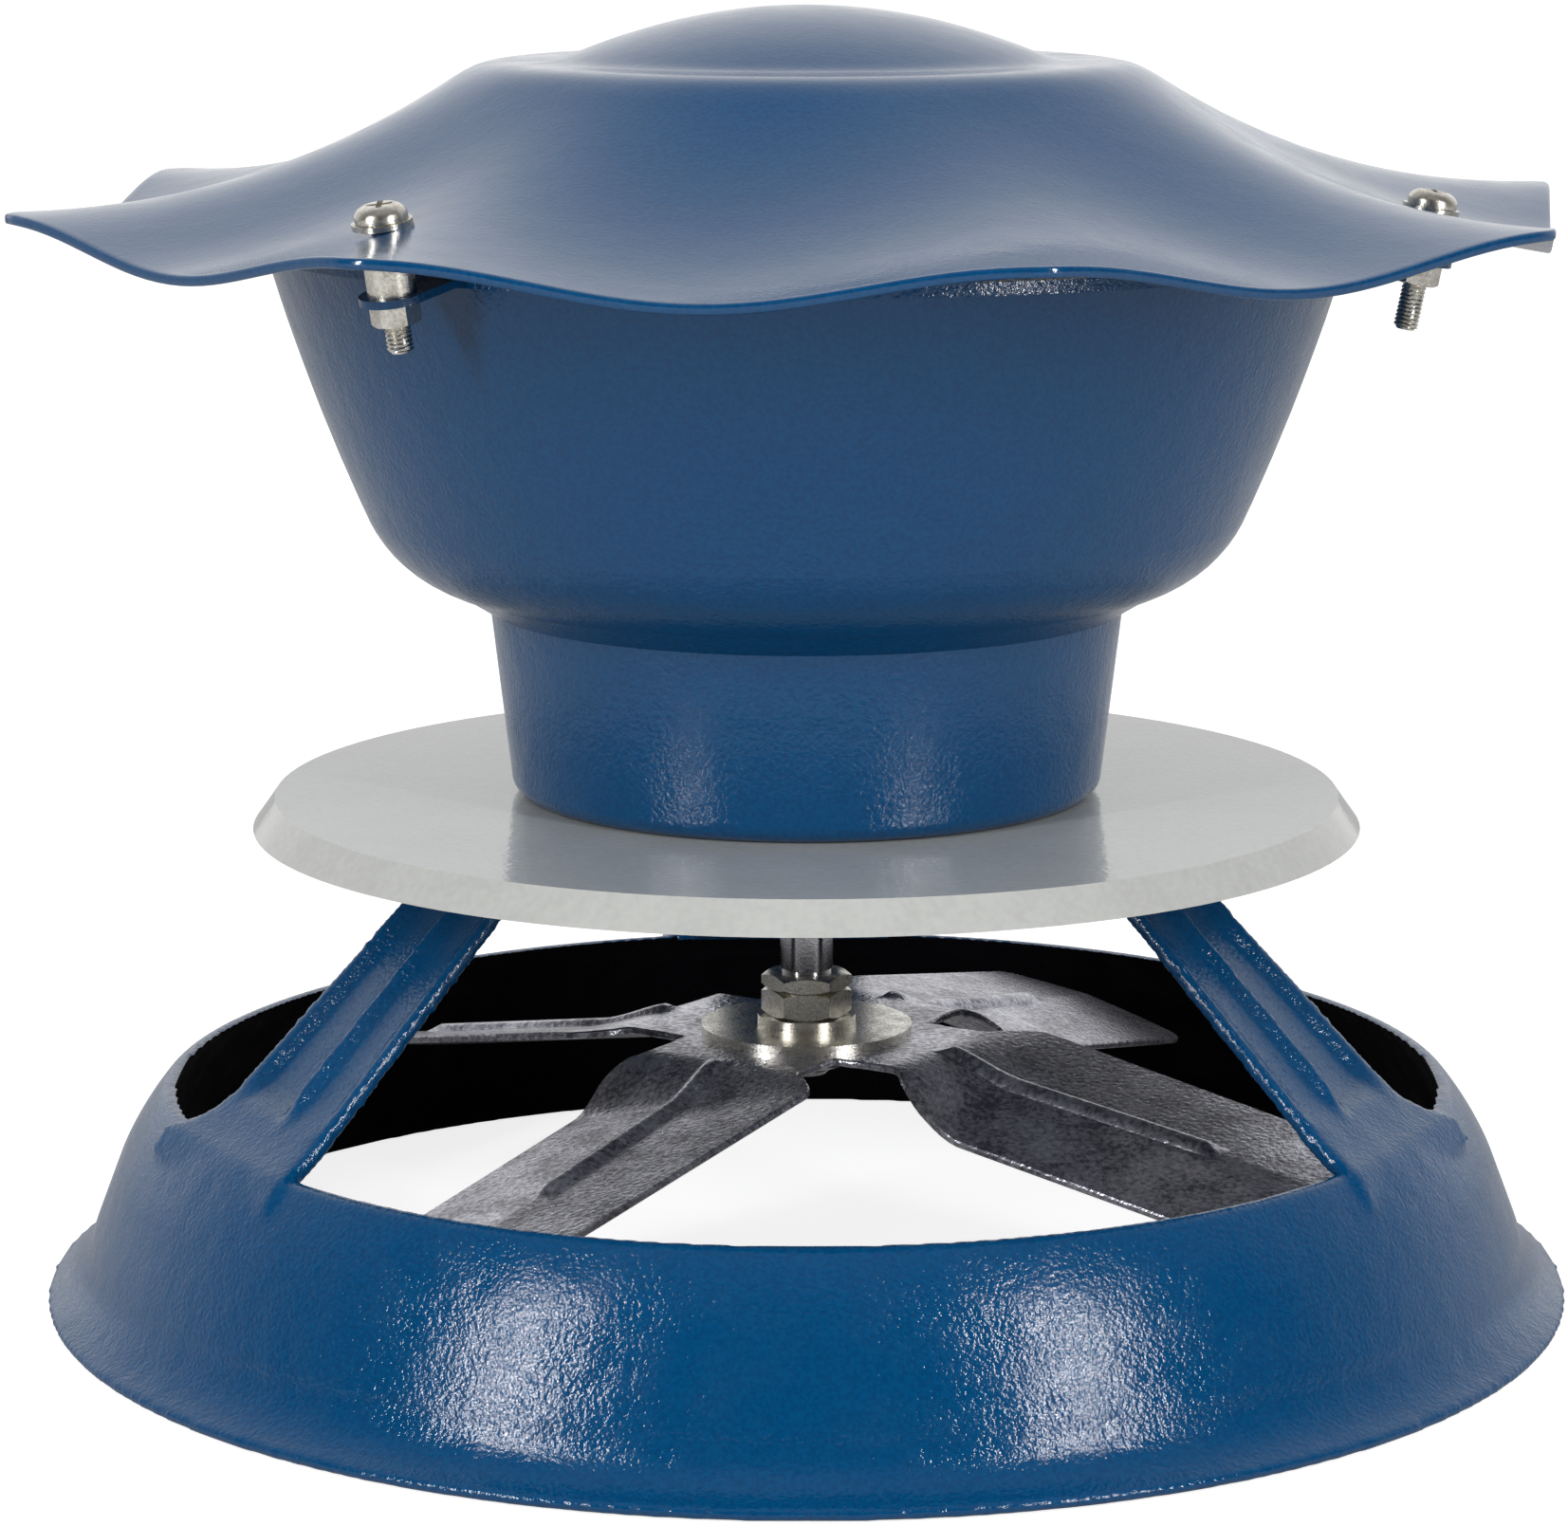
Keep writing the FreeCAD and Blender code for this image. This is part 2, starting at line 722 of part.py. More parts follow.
def cap_distances(place, reach, drop):
    """Distances along a screw from its start to the cap, in a ring round the screw."""
    distances = []
    for step in range(RING_POINTS):
        turn = 2 * math.pi * step / RING_POINTS
        along = 0.0
        for _ in range(SEARCH_STEPS):
            point = place.multVec(V(reach * math.cos(turn), reach * math.sin(turn), along))
            azimuth = math.degrees(math.atan2(point.y, point.x)) + 90 - size("cap_turn").value
            along += cap_top(math.hypot(point.x, point.y), azimuth) - drop - point.z
        distances.append(along)
    return distances


def cap_fasteners():
    """Pan head screws with washers, sleeves that hold the cap up, and nuts under the ears."""
    radius = size("cap_screw_radius").value
    bore = radius + size("hole_clearance").value
    washer_radius = size("cap_washer_radius").value
    washer_thickness = size("cap_washer_thickness").value
    sleeve_radius = size("cap_sleeve_radius").value
    sleeve_foot = size("ear_thickness").value
    length = size("cap_screw_length").value
    screws, washers, sleeves = [], [], []
    for place in screw_places():
        seat = max(cap_distances(place, washer_radius, 0))
        under = min(cap_distances(place, sleeve_radius, size("cap_thickness").value))
        washers.append(pipe(bore, washer_radius, seat, washer_thickness))
        base = seat + washer_thickness
        shank = Part.makeCylinder(radius, length, V(0, 0, base - length))
        screws.append(shank.fuse(pan_head(base)))
        sleeves.append(pipe(bore, sleeve_radius, sleeve_foot, under - sleeve_foot))
    at_screws("cap_screws", screws)
    at_screws("cap_washers", washers)
    at_screws("cap_sleeves", sleeves)
    nut_height = size("cap_nut_height").value
    across = size("cap_nut_flats").value / 2 / math.cos(math.pi / HEXAGON_SIDES)
    corners = []
    for k in range(HEXAGON_SIDES + 1):
        turn = 2 * math.pi * k / HEXAGON_SIDES
        corners.append(V(across * math.cos(turn), across * math.sin(turn), -nut_height))
    nut = Part.Face(Part.makePolygon(corners)).extrude(V(0, 0, nut_height))
    at_screws("cap_nuts", nut.cut(Part.makeCylinder(radius, nut_height, V(0, 0, -nut_height))))


def pipe(inner, outer, bottom, height):
    return Part.makeCylinder(outer, height, V(0, 0, bottom)).cut(
        Part.makeCylinder(inner, height, V(0, 0, bottom)))


def pan_head(base):
    """A domed head with a cross recess."""
    radius = size("cap_screw_head_radius").value
    height = size("cap_screw_head_height").value
    head = Part.makeCylinder(radius, height, V(0, 0, base))
    top_edge = [e for e in head.Edges if abs(e.BoundBox.ZMin - base - height) < 1e-6][0]
    head = head.makeFillet(height * HEAD_ROUND, [top_edge])
    slot_length = radius * SLOT_LENGTH
    slot_width = radius * SLOT_WIDTH
    slot_depth = height * SLOT_DEPTH
    for length, width in ((slot_length, slot_width), (slot_width, slot_length)):
        slot = Part.makeBox(length, width, slot_depth + DRILL_PAST,
                            V(-length / 2, -width / 2, base + height - slot_depth))
        head = head.cut(slot)
    return head


# Drive motor: two end bells, stator, rotor on the fan's shaft, and its bolts

def end_bell(name, floor_low, floor_high, wall_end, boss_end):
    """A cast bell: a floor, an outer wall and a boss for the bearing."""
    outer = size("motor_radius")
    inner = outer - size("motor_wall")
    pocket = size("bearing_outer")
    boss = pocket + size("bearing_boss_wall")
    face = floor_high if wall_end.value > floor_high.value else floor_low
    back = floor_low if wall_end.value > floor_high.value else floor_high
    return turned(name, [
        ("shaft_hole", back), (outer, back), (outer, wall_end), (inner, wall_end),
        (inner, face), (boss, face), (boss, boss_end), (pocket, boss_end),
        (pocket, face), ("shaft_hole", face)])


def tie_holes(name, bottom, height):
    return holes(name, "tie_bolt_radius", bottom, height, "tie_bolt")


def drive_motor():
    width = size("bearing_width")
    lower = end_bell("lower_bell_blank", housing_floor, bell_lower_floor, stack_bottom,
                     bell_lower_floor + width)
    mount_holes = holes("bell_mount_drills", "mount_bolt_radius", housing_floor,
                        size("mount_bolt_grip"), "mount_bolt")
    grip = size("tie_bolt_grip")
    lower_ties = tie_holes("lower_tie_drills", stack_bottom - grip + DRILL_PAST, grip)
    cut("lower_end_bell", lower, fused("lower_bell_drills", [mount_holes, lower_ties]))
    upper = end_bell("upper_bell_blank", bell_upper_floor, motor_top, stack_top,
                     bell_upper_floor - width)
    upper_ties = tie_holes("upper_tie_drills", stack_top, motor_top - stack_top)
    cut("upper_end_bell", upper, upper_ties)
    bore = size("rotor_radius") + size("air_gap")
    stack = tube("stack_blank", bore, "motor_radius", stack_bottom, stack_top)
    cut("stator_core", stack, tie_holes("stack_tie_drills", stack_bottom, size("stack_height")))
    for name, low, high in (
            ("lower_winding", stack_bottom - size("winding_height"), stack_bottom),
            ("upper_winding", stack_top, stack_top + size("winding_height"))):
        tube(name, "winding_inner", "winding_outer", low, high)
    tube("rotor_core", "shaft_radius", "rotor_radius", stack_bottom, stack_top)
    for name, low in (("lower_bearing", bell_lower_floor),
                      ("upper_bearing", bell_upper_floor - width)):
        split = size("bearing_inner")
        tube(name + "_inner_race", "shaft_radius", split, low, low + width)
        tube(name + "_outer_race", split + size("air_gap"), "bearing_outer", low, low + width)
    bottom = size("hub_height") - size("shaft_tail")
    chamfer = size("shaft_chamfer")
    thread_end = nut_stack_top + chamfer
    top = motor_top - size("shaft_top_gap")
    turned("motor_shaft", [
        (0, bottom), (size("shaft_end_radius") - chamfer, bottom),
        ("shaft_end_radius", bottom + chamfer), ("shaft_end_radius", thread_end),
        ("shaft_neck_radius", thread_end), ("shaft_neck_radius", "shaft_step"),
        ("shaft_radius", size("shaft_step") + chamfer), ("shaft_radius", top), (0, top)])
    shank_low = stack_bottom - grip
    tie = fused("tie_bolt", [
        cylinder("tie_shank", "tie_bolt_radius", shank_low, motor_top - shank_low),
        cylinder("tie_head", "tie_bolt_head_radius", motor_top, "tie_bolt_head")])
    around("motor_tie_bolts", tie, "tie_bolt_count", "tie_bolt_angle", "tie_bolt_circle")


def mount_bolts():
    """Hexagon bolts up through the seat, shield and housing floor into the lower bell."""
    underside = size("seat_underside")
    grip = size("mount_bolt_grip") - size("mount_bolt_end_gap")
    bolt = fused("mount_bolt", [
        hexagon("mount_head", "mount_bolt_flats", underside - size("mount_bolt_head"),
                "mount_bolt_head"),
        cylinder("mount_shank", "mount_bolt_radius", underside, housing_floor + grip - underside)])
    around("motor_mount_bolts", bolt, "mount_bolt_count", "mount_bolt_angle",
           "mount_bolt_circle")


# Fan: a pressed sheet with a flat hub, four pitched and ribbed blades, and its nuts

def fan():
    thick = size("fan_sheet")
    hub_middle = size("hub_height") - thick / 2
    stem_end = size("blade_stem_end")
    root = size("blade_root_radius")
    tip = skirt_top - size("blade_tip_gap")
    root_middle = hub_middle - size("blade_root_drop")
    fall = (size("blade_tip_drop") - size("blade_root_drop")) / (tip - root)
    low_pitch = size("blade_low_pitch")
    high_pitch = size("blade_high_pitch")

    def middle(out):
        return root_middle - fall * (out - root)

    end = tip + size("blade_trim")
    blade = strap("blade_blank", [
        ("blade_stem_start", hub_middle, "blade_stem_width", thick),
        (stem_end, hub_middle, "blade_stem_width", thick),
        (root, root_middle, "blade_root_width", thick, low_pitch, high_pitch),
        (end, middle(end), "blade_tip_width", thick, low_pitch, high_pitch),
    ])
    # a pressed bead runs from the hub over the bend and along the crease
    bead = size("blade_rib_sheet")
    lift = (thick + bead) / 2
    pitch = size("blade_rib_pitch")
    bead_end = size("blade_rib_end")
    bead_start = size("blade_rib_start")
    bend = size("blade_root_drop") / (root - stem_end)
    faded = bead_end + size("blade_rib_fade")
    rib = strap("blade_rib", [
        (bead_start, hub_middle - bend * (bead_start - stem_end) + lift, "blade_rib_width", bead,
         pitch, -pitch),
        (root, root_middle + lift, "blade_rib_width", bead, low_pitch + pitch, -pitch),
        (bead_end, middle(bead_end) + lift, "blade_rib_width", bead, low_pitch + pitch, -pitch),
        (faded, middle(faded), size("blade_rib_width") / 2, bead, low_pitch, high_pitch),
    ])
    ribbed = fused("ribbed_blade", [blade, rib])
    trim = doc.addObject("Part::Common", "trimmed_blade")
    trim.Base = ribbed
    trim.Tool = cylinder("blade_reach", tip, 0, size("hub_height") + size("hub_nut_height"))
    blades = around("blades", trim, "blade_count", "blade_angle", 0)
    hub = tube("hub_plate", "shaft_end_radius", "hub_radius", size("hub_height") - thick,
               "hub_height")
    fused("fan_blades", [hub, blades])
    tube("hub_disc", "shaft_end_radius", "hub_disc_radius", "hub_height", hub_disc_top)
    tube("hub_washer", "shaft_end_radius", "hub_washer_radius", hub_disc_top, hub_washer_top)
    nut_height = size("hub_nut_height")
    for name, bottom, height in (
            ("hub_nut", hub_washer_top, nut_height),
            ("hub_lock_nut", hub_washer_top + nut_height, size("hub_lock_nut_height")),
            ("hub_lower_nut", size("hub_height") - thick - nut_height, nut_height)):
        cut(name, hexagon(name + "_blank", "hub_nut_flats", bottom, height),
            cylinder(name + "_thread", "shaft_end_radius", bottom, height))


NODES = [
    "base_frame", "heat_shield", "motor_housing", "cable_grommet", "rain_cap", "cap_screws",
    "cap_washers", "cap_sleeves", "cap_nuts", "lower_end_bell", "upper_end_bell",
    "stator_core", "lower_winding", "upper_winding", "motor_tie_bolts", "motor_mount_bolts",
    "lower_bearing_outer_race", "upper_bearing_outer_race", "lower_bearing_inner_race",
    "upper_bearing_inner_race", "rotor_core", "motor_shaft", "fan_blades", "hub_disc",
    "hub_washer", "hub_nut", "hub_lock_nut", "hub_lower_nut",
]


def check_and_write():
    doc.recompute()
    for thing in doc.Objects:
        if "Invalid" in thing.State or "Error" in thing.State:
            raise RuntimeError("%s did not rebuild: %s" % (thing.Name, thing.State))
    os.makedirs("parts", exist_ok=True)
    for node in NODES:
        thing = doc.getObject(node)
        thing.Label = node
        shape = thing.Shape
        if shape.isNull() or not shape.isValid():
            raise RuntimeError("%s has no valid shape" % node)
        print("%-28s solids %d  volume %.0f" % (node, len(shape.Solids), shape.Volume))
        shape.exportStep("parts/%s.step" % node)


base_frame()
heat_shield()
cable_grommet(motor_housing())
rain_cap()
cap_fasteners()
drive_motor()
mount_bolts()
fan()
check_and_write()
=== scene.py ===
"""Chimney fan: its castings, lobed cap, pressed fan and hardware, built round the fixed frame."""

import math
from functools import partial

import bmesh
import bpy
from mathutils import Matrix, Vector


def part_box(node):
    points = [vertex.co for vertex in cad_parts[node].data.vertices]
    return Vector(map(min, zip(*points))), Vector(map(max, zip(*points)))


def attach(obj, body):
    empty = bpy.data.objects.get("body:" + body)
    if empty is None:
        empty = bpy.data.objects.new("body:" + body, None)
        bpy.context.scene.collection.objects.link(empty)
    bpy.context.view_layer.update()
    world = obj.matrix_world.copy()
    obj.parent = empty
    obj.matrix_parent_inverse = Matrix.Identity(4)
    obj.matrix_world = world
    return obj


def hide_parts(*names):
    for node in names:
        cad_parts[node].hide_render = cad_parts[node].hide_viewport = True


bl_info = {
    "name": "Chimney Fan",
    "version": (1, 0, 0),
    "blender": (4, 5, 0),
    "location": "View3D > Sidebar > Chimney Fan",
    "description": "Builds a chimney fan: enamelled casting, lobed cap, pressed fan and its hardware",
    "category": "Object",
}

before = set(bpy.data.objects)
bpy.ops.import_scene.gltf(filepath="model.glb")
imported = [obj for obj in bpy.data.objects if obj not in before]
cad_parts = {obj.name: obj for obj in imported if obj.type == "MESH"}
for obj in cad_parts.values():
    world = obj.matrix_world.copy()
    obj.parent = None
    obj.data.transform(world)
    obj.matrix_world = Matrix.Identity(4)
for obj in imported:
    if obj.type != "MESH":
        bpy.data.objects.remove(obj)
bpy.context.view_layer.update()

MM = 0.001
FULL_TURN = 2 * math.pi
MERGE_GAP = 0.002 * MM

# Helpers for node trees, shared by materials and geometry


def place(tree, kind, inputs=None, **settings):
    """Add a node. Each input is a value, or the socket of another node that feeds it."""
    node = tree.nodes.new(kind)
    for name, value in settings.items():
        setattr(node, name, value)
    for key, value in (inputs or {}).items():
        if isinstance(value, bpy.types.NodeSocket):
            tree.links.new(value, node.inputs[key])
        else:
            node.inputs[key].default_value = value
    return node


def calc(tree, operation, *values, clamp=False):
    """One step of arithmetic on numbers or sockets."""
    node = place(tree, "ShaderNodeMath", dict(enumerate(values)), operation=operation)
    node.use_clamp = clamp
    return node.outputs[0]


def blend_colours(tree, share, first, second):
    return place(tree, "ShaderNodeMix", {0: share, 6: first, 7: second},
                 data_type="RGBA").outputs[2]


def remap(tree, value, low, high, to_low, to_high):
    return place(tree, "ShaderNodeMapRange", {
        "Value": value, "From Min": low, "From Max": high, "To Min": to_low, "To Max": to_high,
    }).outputs[0]


def noise(tree, where, scale, detail=2.0, roughness=0.5):
    return place(tree, "ShaderNodeTexNoise", {
        "Vector": where, "Scale": scale, "Detail": detail, "Roughness": roughness}).outputs[0]


def shader_group(name, inputs, outputs):
    """A new node group with named inputs and outputs: (tree, its input node, its output node)."""
    tree = bpy.data.node_groups.new(name, "ShaderNodeTree")
    for label, kind, value in inputs:
        socket = tree.interface.new_socket(label, in_out="INPUT", socket_type=kind)
        socket.default_value = value
    for label, kind in outputs:
        tree.interface.new_socket(label, in_out="OUTPUT", socket_type=kind)
    return tree, tree.nodes.new("NodeGroupInput"), tree.nodes.new("NodeGroupOutput")


def use_group(tree, name, inputs):
    """Add a node that runs one of the shared groups."""
    return place(tree, "ShaderNodeGroup", inputs, node_tree=bpy.data.node_groups[name])


# Surface effects that several finishes share


def build_hammered_coat():
    """Enamel that dried into small pits: a mottled colour that is darker in the pits as painted
    shade, a patchy gloss and a height.
    """
    tree, given, result = shader_group("Hammered Coat", [
        ("Where", "NodeSocketVector", (0, 0, 0)),
        ("Colour", "NodeSocketColor", (0.01, 0.06, 0.16, 1)),
        ("Pit Shade Colour", "NodeSocketColor", (0.005, 0.03, 0.1, 1)),
        ("Pit Size", "NodeSocketFloat", 0.0014),
        ("Smoothest", "NodeSocketFloat", 0.14),
        ("Roughest", "NodeSocketFloat", 0.28),
    ], [("Colour", "NodeSocketColor"), ("Roughness", "NodeSocketFloat"),
        ("Height", "NodeSocketFloat")])
    where = given.outputs["Where"]
    density = calc(tree, "DIVIDE", 1.0, given.outputs["Pit Size"])
    pits = noise(tree, where, density, 2.0, 0.55)
    broad = noise(tree, where, calc(tree, "MULTIPLY", density, 0.11), 3.0)
    # The pits take the darker pit colour: painted shade in the recesses.
    share = remap(tree, pits, 0.38, 0.6, 0.0, 1.0)
    tint = blend_colours(tree, share, given.outputs["Pit Shade Colour"], given.outputs["Colour"])
    gloss = place(tree, "ShaderNodeMapRange", {
        "Value": broad, "From Min": 0.35, "From Max": 0.65,
        "To Min": given.outputs["Smoothest"], "To Max": given.outputs["Roughest"]}).outputs[0]
    swell = calc(tree, "ADD", pits, calc(tree, "MULTIPLY", broad, 2.0))
    tree.links.new(tint, result.inputs["Colour"])
    tree.links.new(gloss, result.inputs["Roughness"])
    tree.links.new(swell, result.inputs["Height"])


def build_mottled_metal():
    """Bare or plated metal: cloudy colour, fine grain and uneven polish."""
    tree, given, result = shader_group("Mottled Metal", [
        ("Where", "NodeSocketVector", (0, 0, 0)),
        ("Colour", "NodeSocketColor", (0.5, 0.5, 0.5, 1)),
        ("Stain Colour", "NodeSocketColor", (0.3, 0.3, 0.3, 1)),
        ("Cloud Size", "NodeSocketFloat", 0.01),
        ("Grain Size", "NodeSocketFloat", 0.001),
        ("Smoothest", "NodeSocketFloat", 0.2),
        ("Roughest", "NodeSocketFloat", 0.4),
    ], [("Colour", "NodeSocketColor"), ("Roughness", "NodeSocketFloat"),
        ("Height", "NodeSocketFloat")])
    where = given.outputs["Where"]
    clouds = noise(tree, where, calc(tree, "DIVIDE", 1.0, given.outputs["Cloud Size"]), 4.0, 0.6)
    grain = noise(tree, where, calc(tree, "DIVIDE", 1.0, given.outputs["Grain Size"]), 2.0)
    mixed = calc(tree, "MULTIPLY", calc(tree, "ADD", clouds, grain), 0.5)
    share = remap(tree, mixed, 0.38, 0.62, 0.0, 1.0)
    tint = blend_colours(tree, share, given.outputs["Stain Colour"], given.outputs["Colour"])
    polish = place(tree, "ShaderNodeMapRange", {
        "Value": mixed, "From Min": 0.35, "From Max": 0.65,
        "To Min": given.outputs["Roughest"], "To Max": given.outputs["Smoothest"]}).outputs[0]
    tree.links.new(tint, result.inputs["Colour"])
    tree.links.new(polish, result.inputs["Roughness"])
    tree.links.new(grain, result.inputs["Height"])


def new_material(name):
    """An empty material: (material, its tree, its Principled shader, object coordinates)."""
    made = bpy.data.materials.new(name)
    made.use_nodes = True
    tree = made.node_tree
    tree.nodes.clear()
    shader = tree.nodes.new("ShaderNodeBsdfPrincipled")
    output = tree.nodes.new("ShaderNodeOutputMaterial")
    tree.links.new(shader.outputs[0], output.inputs["Surface"])
    where = tree.nodes.new("ShaderNodeTexCoord").outputs["Object"]
    return made, tree, shader, where


def linear(red, green, blue):
    """A colour picked on screen, 0 to 255, as the linear values that shaders take."""
    def channel(value):
        share = value / 255
        return share / 12.92 if share <= 0.04045 else ((share + 0.055) / 1.055) ** 2.4
    return channel(red), channel(green), channel(blue), 1.0


def raise_surface(tree, shader, height, distance, strength=1.0):
    bump = place(tree, "ShaderNodeBump", {
        "Height": height, "Distance": distance, "Strength": strength})
    tree.links.new(bump.outputs[0], shader.inputs["Normal"])


# Finishes


def coated(name, group, inputs, depth):
    """A material with its colour, gloss and relief from a shared group: (material, shader)."""
    made, tree, shader, where = new_material(name)
    coat = use_group(tree, group, dict(inputs, Where=where))
    tree.links.new(coat.outputs["Colour"], shader.inputs["Base Color"])
    tree.links.new(coat.outputs["Roughness"], shader.inputs["Roughness"])
    raise_surface(tree, shader, coat.outputs["Height"], depth)
    return made, shader


def blue_enamel(look, name, depth, shine):
    """Blue coat, as pitted as its depth says: castings more than pressed sheet."""
    made, shader = coated(name, "Hammered Coat", {
        "Colour": tuple(look.enamel) + (1,), "Pit Shade Colour": tuple(look.enamel_pit_shade) + (1,),
        "Pit Size": look.pit_size, "Smoothest": 0.09, "Roughest": 0.17}, depth)
    shader.inputs["Specular IOR Level"].default_value = shine
    return made


def painted_shade_inside(look):
    """Black painted shade for the inside of the base ring, put where its shadow falls."""
    made, shader = coated("Inside Painted Shade", "Hammered Coat", {
        "Colour": linear(7, 7, 12), "Pit Shade Colour": linear(3, 3, 6), "Pit Size": look.pit_size,
        "Smoothest": 0.6, "Roughest": 0.8}, look.pit_depth)
    shader.inputs["Specular IOR Level"].default_value = 0.05
    return made


def shield_paint(look):
    """Pale, glossy paint that mirrors the neck."""
    made, shader = coated("Shield Paint", "Mottled Metal", {
        "Colour": tuple(look.shield) + (1,), "Stain Colour": tuple(look.shield_stain) + (1,),
        "Cloud Size": 12 * MM, "Grain Size": 1.6 * MM, "Smoothest": 0.06, "Roughest": 0.13},
        0.06 * MM)
    shader.inputs["Specular IOR Level"].default_value = 0.8
    return made


# Bare metals: colour and stain as on screen, sizes of clouds and grain in millimetres,
# least and most roughness, height of the grain in millimetres, and how metallic each is
METALS = {
    "Fan Steel": ((196, 196, 206), (96, 96, 106), (12, 1.1), (0.18, 0.32), 0.14, 0.85),
    "Bright Zinc": ((232, 230, 222), (186, 180, 168), (4, 0.6), (0.2, 0.36), 0.02, 1.0),
    "Ground Steel": ((205, 205, 208), (160, 160, 165), (6, 0.5), (0.1, 0.2), 0.01, 1.0),
    "Cast Alloy": ((186, 188, 190), (140, 142, 146), (6, 0.8), (0.35, 0.6), 0.08, 1.0),
}


def metal_finish(name):
    base, stain, (cloud, grain), (smoothest, roughest), depth, metallic = METALS[name]
    made, shader = coated(name, "Mottled Metal", {
        "Colour": linear(*base), "Stain Colour": linear(*stain), "Cloud Size": cloud * MM,
        "Grain Size": grain * MM, "Smoothest": smoothest, "Roughest": roughest}, depth * MM)
    shader.inputs["Metallic"].default_value = metallic
    return made


def core_steel():
    """Stacked sheets: dark steel with a fine line between one sheet and the next."""
    made, tree, shader, where = new_material("Core Steel")
    metal = use_group(tree, "Mottled Metal", {
        "Where": where, "Colour": linear(120, 116, 112), "Stain Colour": linear(74, 70, 68),
        "Cloud Size": 0.006, "Grain Size": 0.0006, "Smoothest": 0.35, "Roughest": 0.55})
    height = place(tree, "ShaderNodeSeparateXYZ", {0: where}).outputs[2]
    sheets = calc(tree, "PINGPONG", height, 0.0005)
    tree.links.new(metal.outputs["Colour"], shader.inputs["Base Color"])
    tree.links.new(metal.outputs["Roughness"], shader.inputs["Roughness"])
    shader.inputs["Metallic"].default_value = 1.0
    raise_surface(tree, shader, sheets, 0.4)
    return made


def winding_copper():
    """Enamelled wire in bundles that run round the stator."""
    made, tree, shader, where = new_material("Winding Copper")
    height = place(tree, "ShaderNodeSeparateXYZ", {0: where}).outputs[2]
    wander = calc(tree, "MULTIPLY", noise(tree, where, 60.0), 0.002)
    wires = calc(tree, "PINGPONG", calc(tree, "ADD", height, wander), 0.0004)
    # Each wire is painted lighter along its middle and darker where it meets the next: painted
    # highlight and painted shade.
    share = remap(tree, wires, 0.0, 0.0004, 0.0, 1.0)
    tint = blend_colours(tree, share, linear(88, 36, 16), linear(186, 98, 52))
    tree.links.new(tint, shader.inputs["Base Color"])
    shader.inputs["Metallic"].default_value = 0.9
    shader.inputs["Roughness"].default_value = 0.32
    raise_surface(tree, shader, wires, 0.6)
    return made


def grommet_rubber():
    made, tree, shader, where = new_material("Grommet Rubber")
    grain = noise(tree, where, 900.0, 3.0)
    tint = blend_colours(tree, grain, linear(18, 18, 19), linear(38, 38, 40))
    tree.links.new(tint, shader.inputs["Base Color"])
    shader.inputs["Roughness"].default_value = 0.62
    raise_surface(tree, shader, grain, 0.00005)
    return made


MATERIALS = {}


def build_materials(look):
    build_hammered_coat()
    build_mottled_metal()
    finishes = [blue_enamel(look, "Blue Enamel", look.pit_depth, look.cast_shine),
                blue_enamel(look, "Smooth Enamel", look.sheet_pit_depth, look.sheet_shine),
                painted_shade_inside(look), shield_paint(look)]
    finishes += [metal_finish(name) for name in METALS]
    finishes += [core_steel(), winding_copper(), grommet_rubber()]
    for made in finishes:
        MATERIALS[made.name] = made


# Helpers for meshes


def coat_node(node, material):
    """Give a frame node its finish, shape untouched."""
    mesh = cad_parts[node].data
    mesh.materials.clear()
    mesh.materials.append(MATERIALS[material])


def put(name, data):
    """A new object in the scene."""
    made = bpy.data.objects.new(name, data)
    bpy.context.scene.collection.objects.link(made)
    return made


def plain_mesh(shape, name):
    """The mesh that a bmesh holds, which is freed."""
    mesh = bpy.data.meshes.new(name)
    shape.to_mesh(mesh)
    shape.free()
    return mesh


def mesh_of(shape, name):
    """A mesh from a bmesh, with its doubles merged and its faces turned outwards."""
    bmesh.ops.remove_doubles(shape, verts=shape.verts, dist=MERGE_GAP)
    bmesh.ops.recalc_face_normals(shape, faces=shape.faces)
    return plain_mesh(shape, name)


def merged(mesh):
    """The same mesh with its doubles merged."""
    shape = bmesh.new()
    shape.from_mesh(mesh)
    bmesh.ops.remove_doubles(shape, verts=shape.verts, dist=MERGE_GAP)
    shape.to_mesh(mesh)
    shape.free()
    return mesh


def evaluated_mesh(holder):
    """The mesh that an object has after its modifiers. The object is removed."""
    evaluated = holder.evaluated_get(bpy.context.evaluated_depsgraph_get())
    result = bpy.data.meshes.new_from_object(evaluated)
    holder.modifiers.clear()
    bpy.data.objects.remove(holder)
    return result


def worked(mesh, steps):
    """The mesh after modifiers, each given as (kind, settings)."""
    holder = put("work", mesh)
    for kind, settings in steps:
        modifier = holder.modifiers.new(kind, kind)
        for name, value in settings.items():
            setattr(modifier, name, value)
    return evaluated_mesh(holder)


def grown(tree, values, material, source=None):
    """The plain mesh that a geometry tree gives for some values."""
    holder = put("grow", source or bpy.data.meshes.new("seed"))
    modifier = holder.modifiers.new("grow", "NODES")
    modifier.node_group = tree
    given = dict(values, Material=MATERIALS[material])
    for item in tree.interface.items_tree:
        if item.item_type == "SOCKET" and item.in_out == "INPUT" and item.name in given:
            modifier[item.identifier] = given[item.name]
    return merged(evaluated_mesh(holder))


def add_piece(name, mesh, body, nodes, material=None, sharp=35):
    """Put a finished mesh in the scene: it rides on a body and stands for some nodes."""
    mesh.name = name
    if material:
        mesh.materials.clear()
        mesh.materials.append(MATERIALS[material])
    mesh.shade_smooth()
    mesh.set_sharp_from_angle(angle=math.radians(sharp))
    piece = put(name, mesh)
    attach(piece, body)
    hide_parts(*nodes)
    return piece


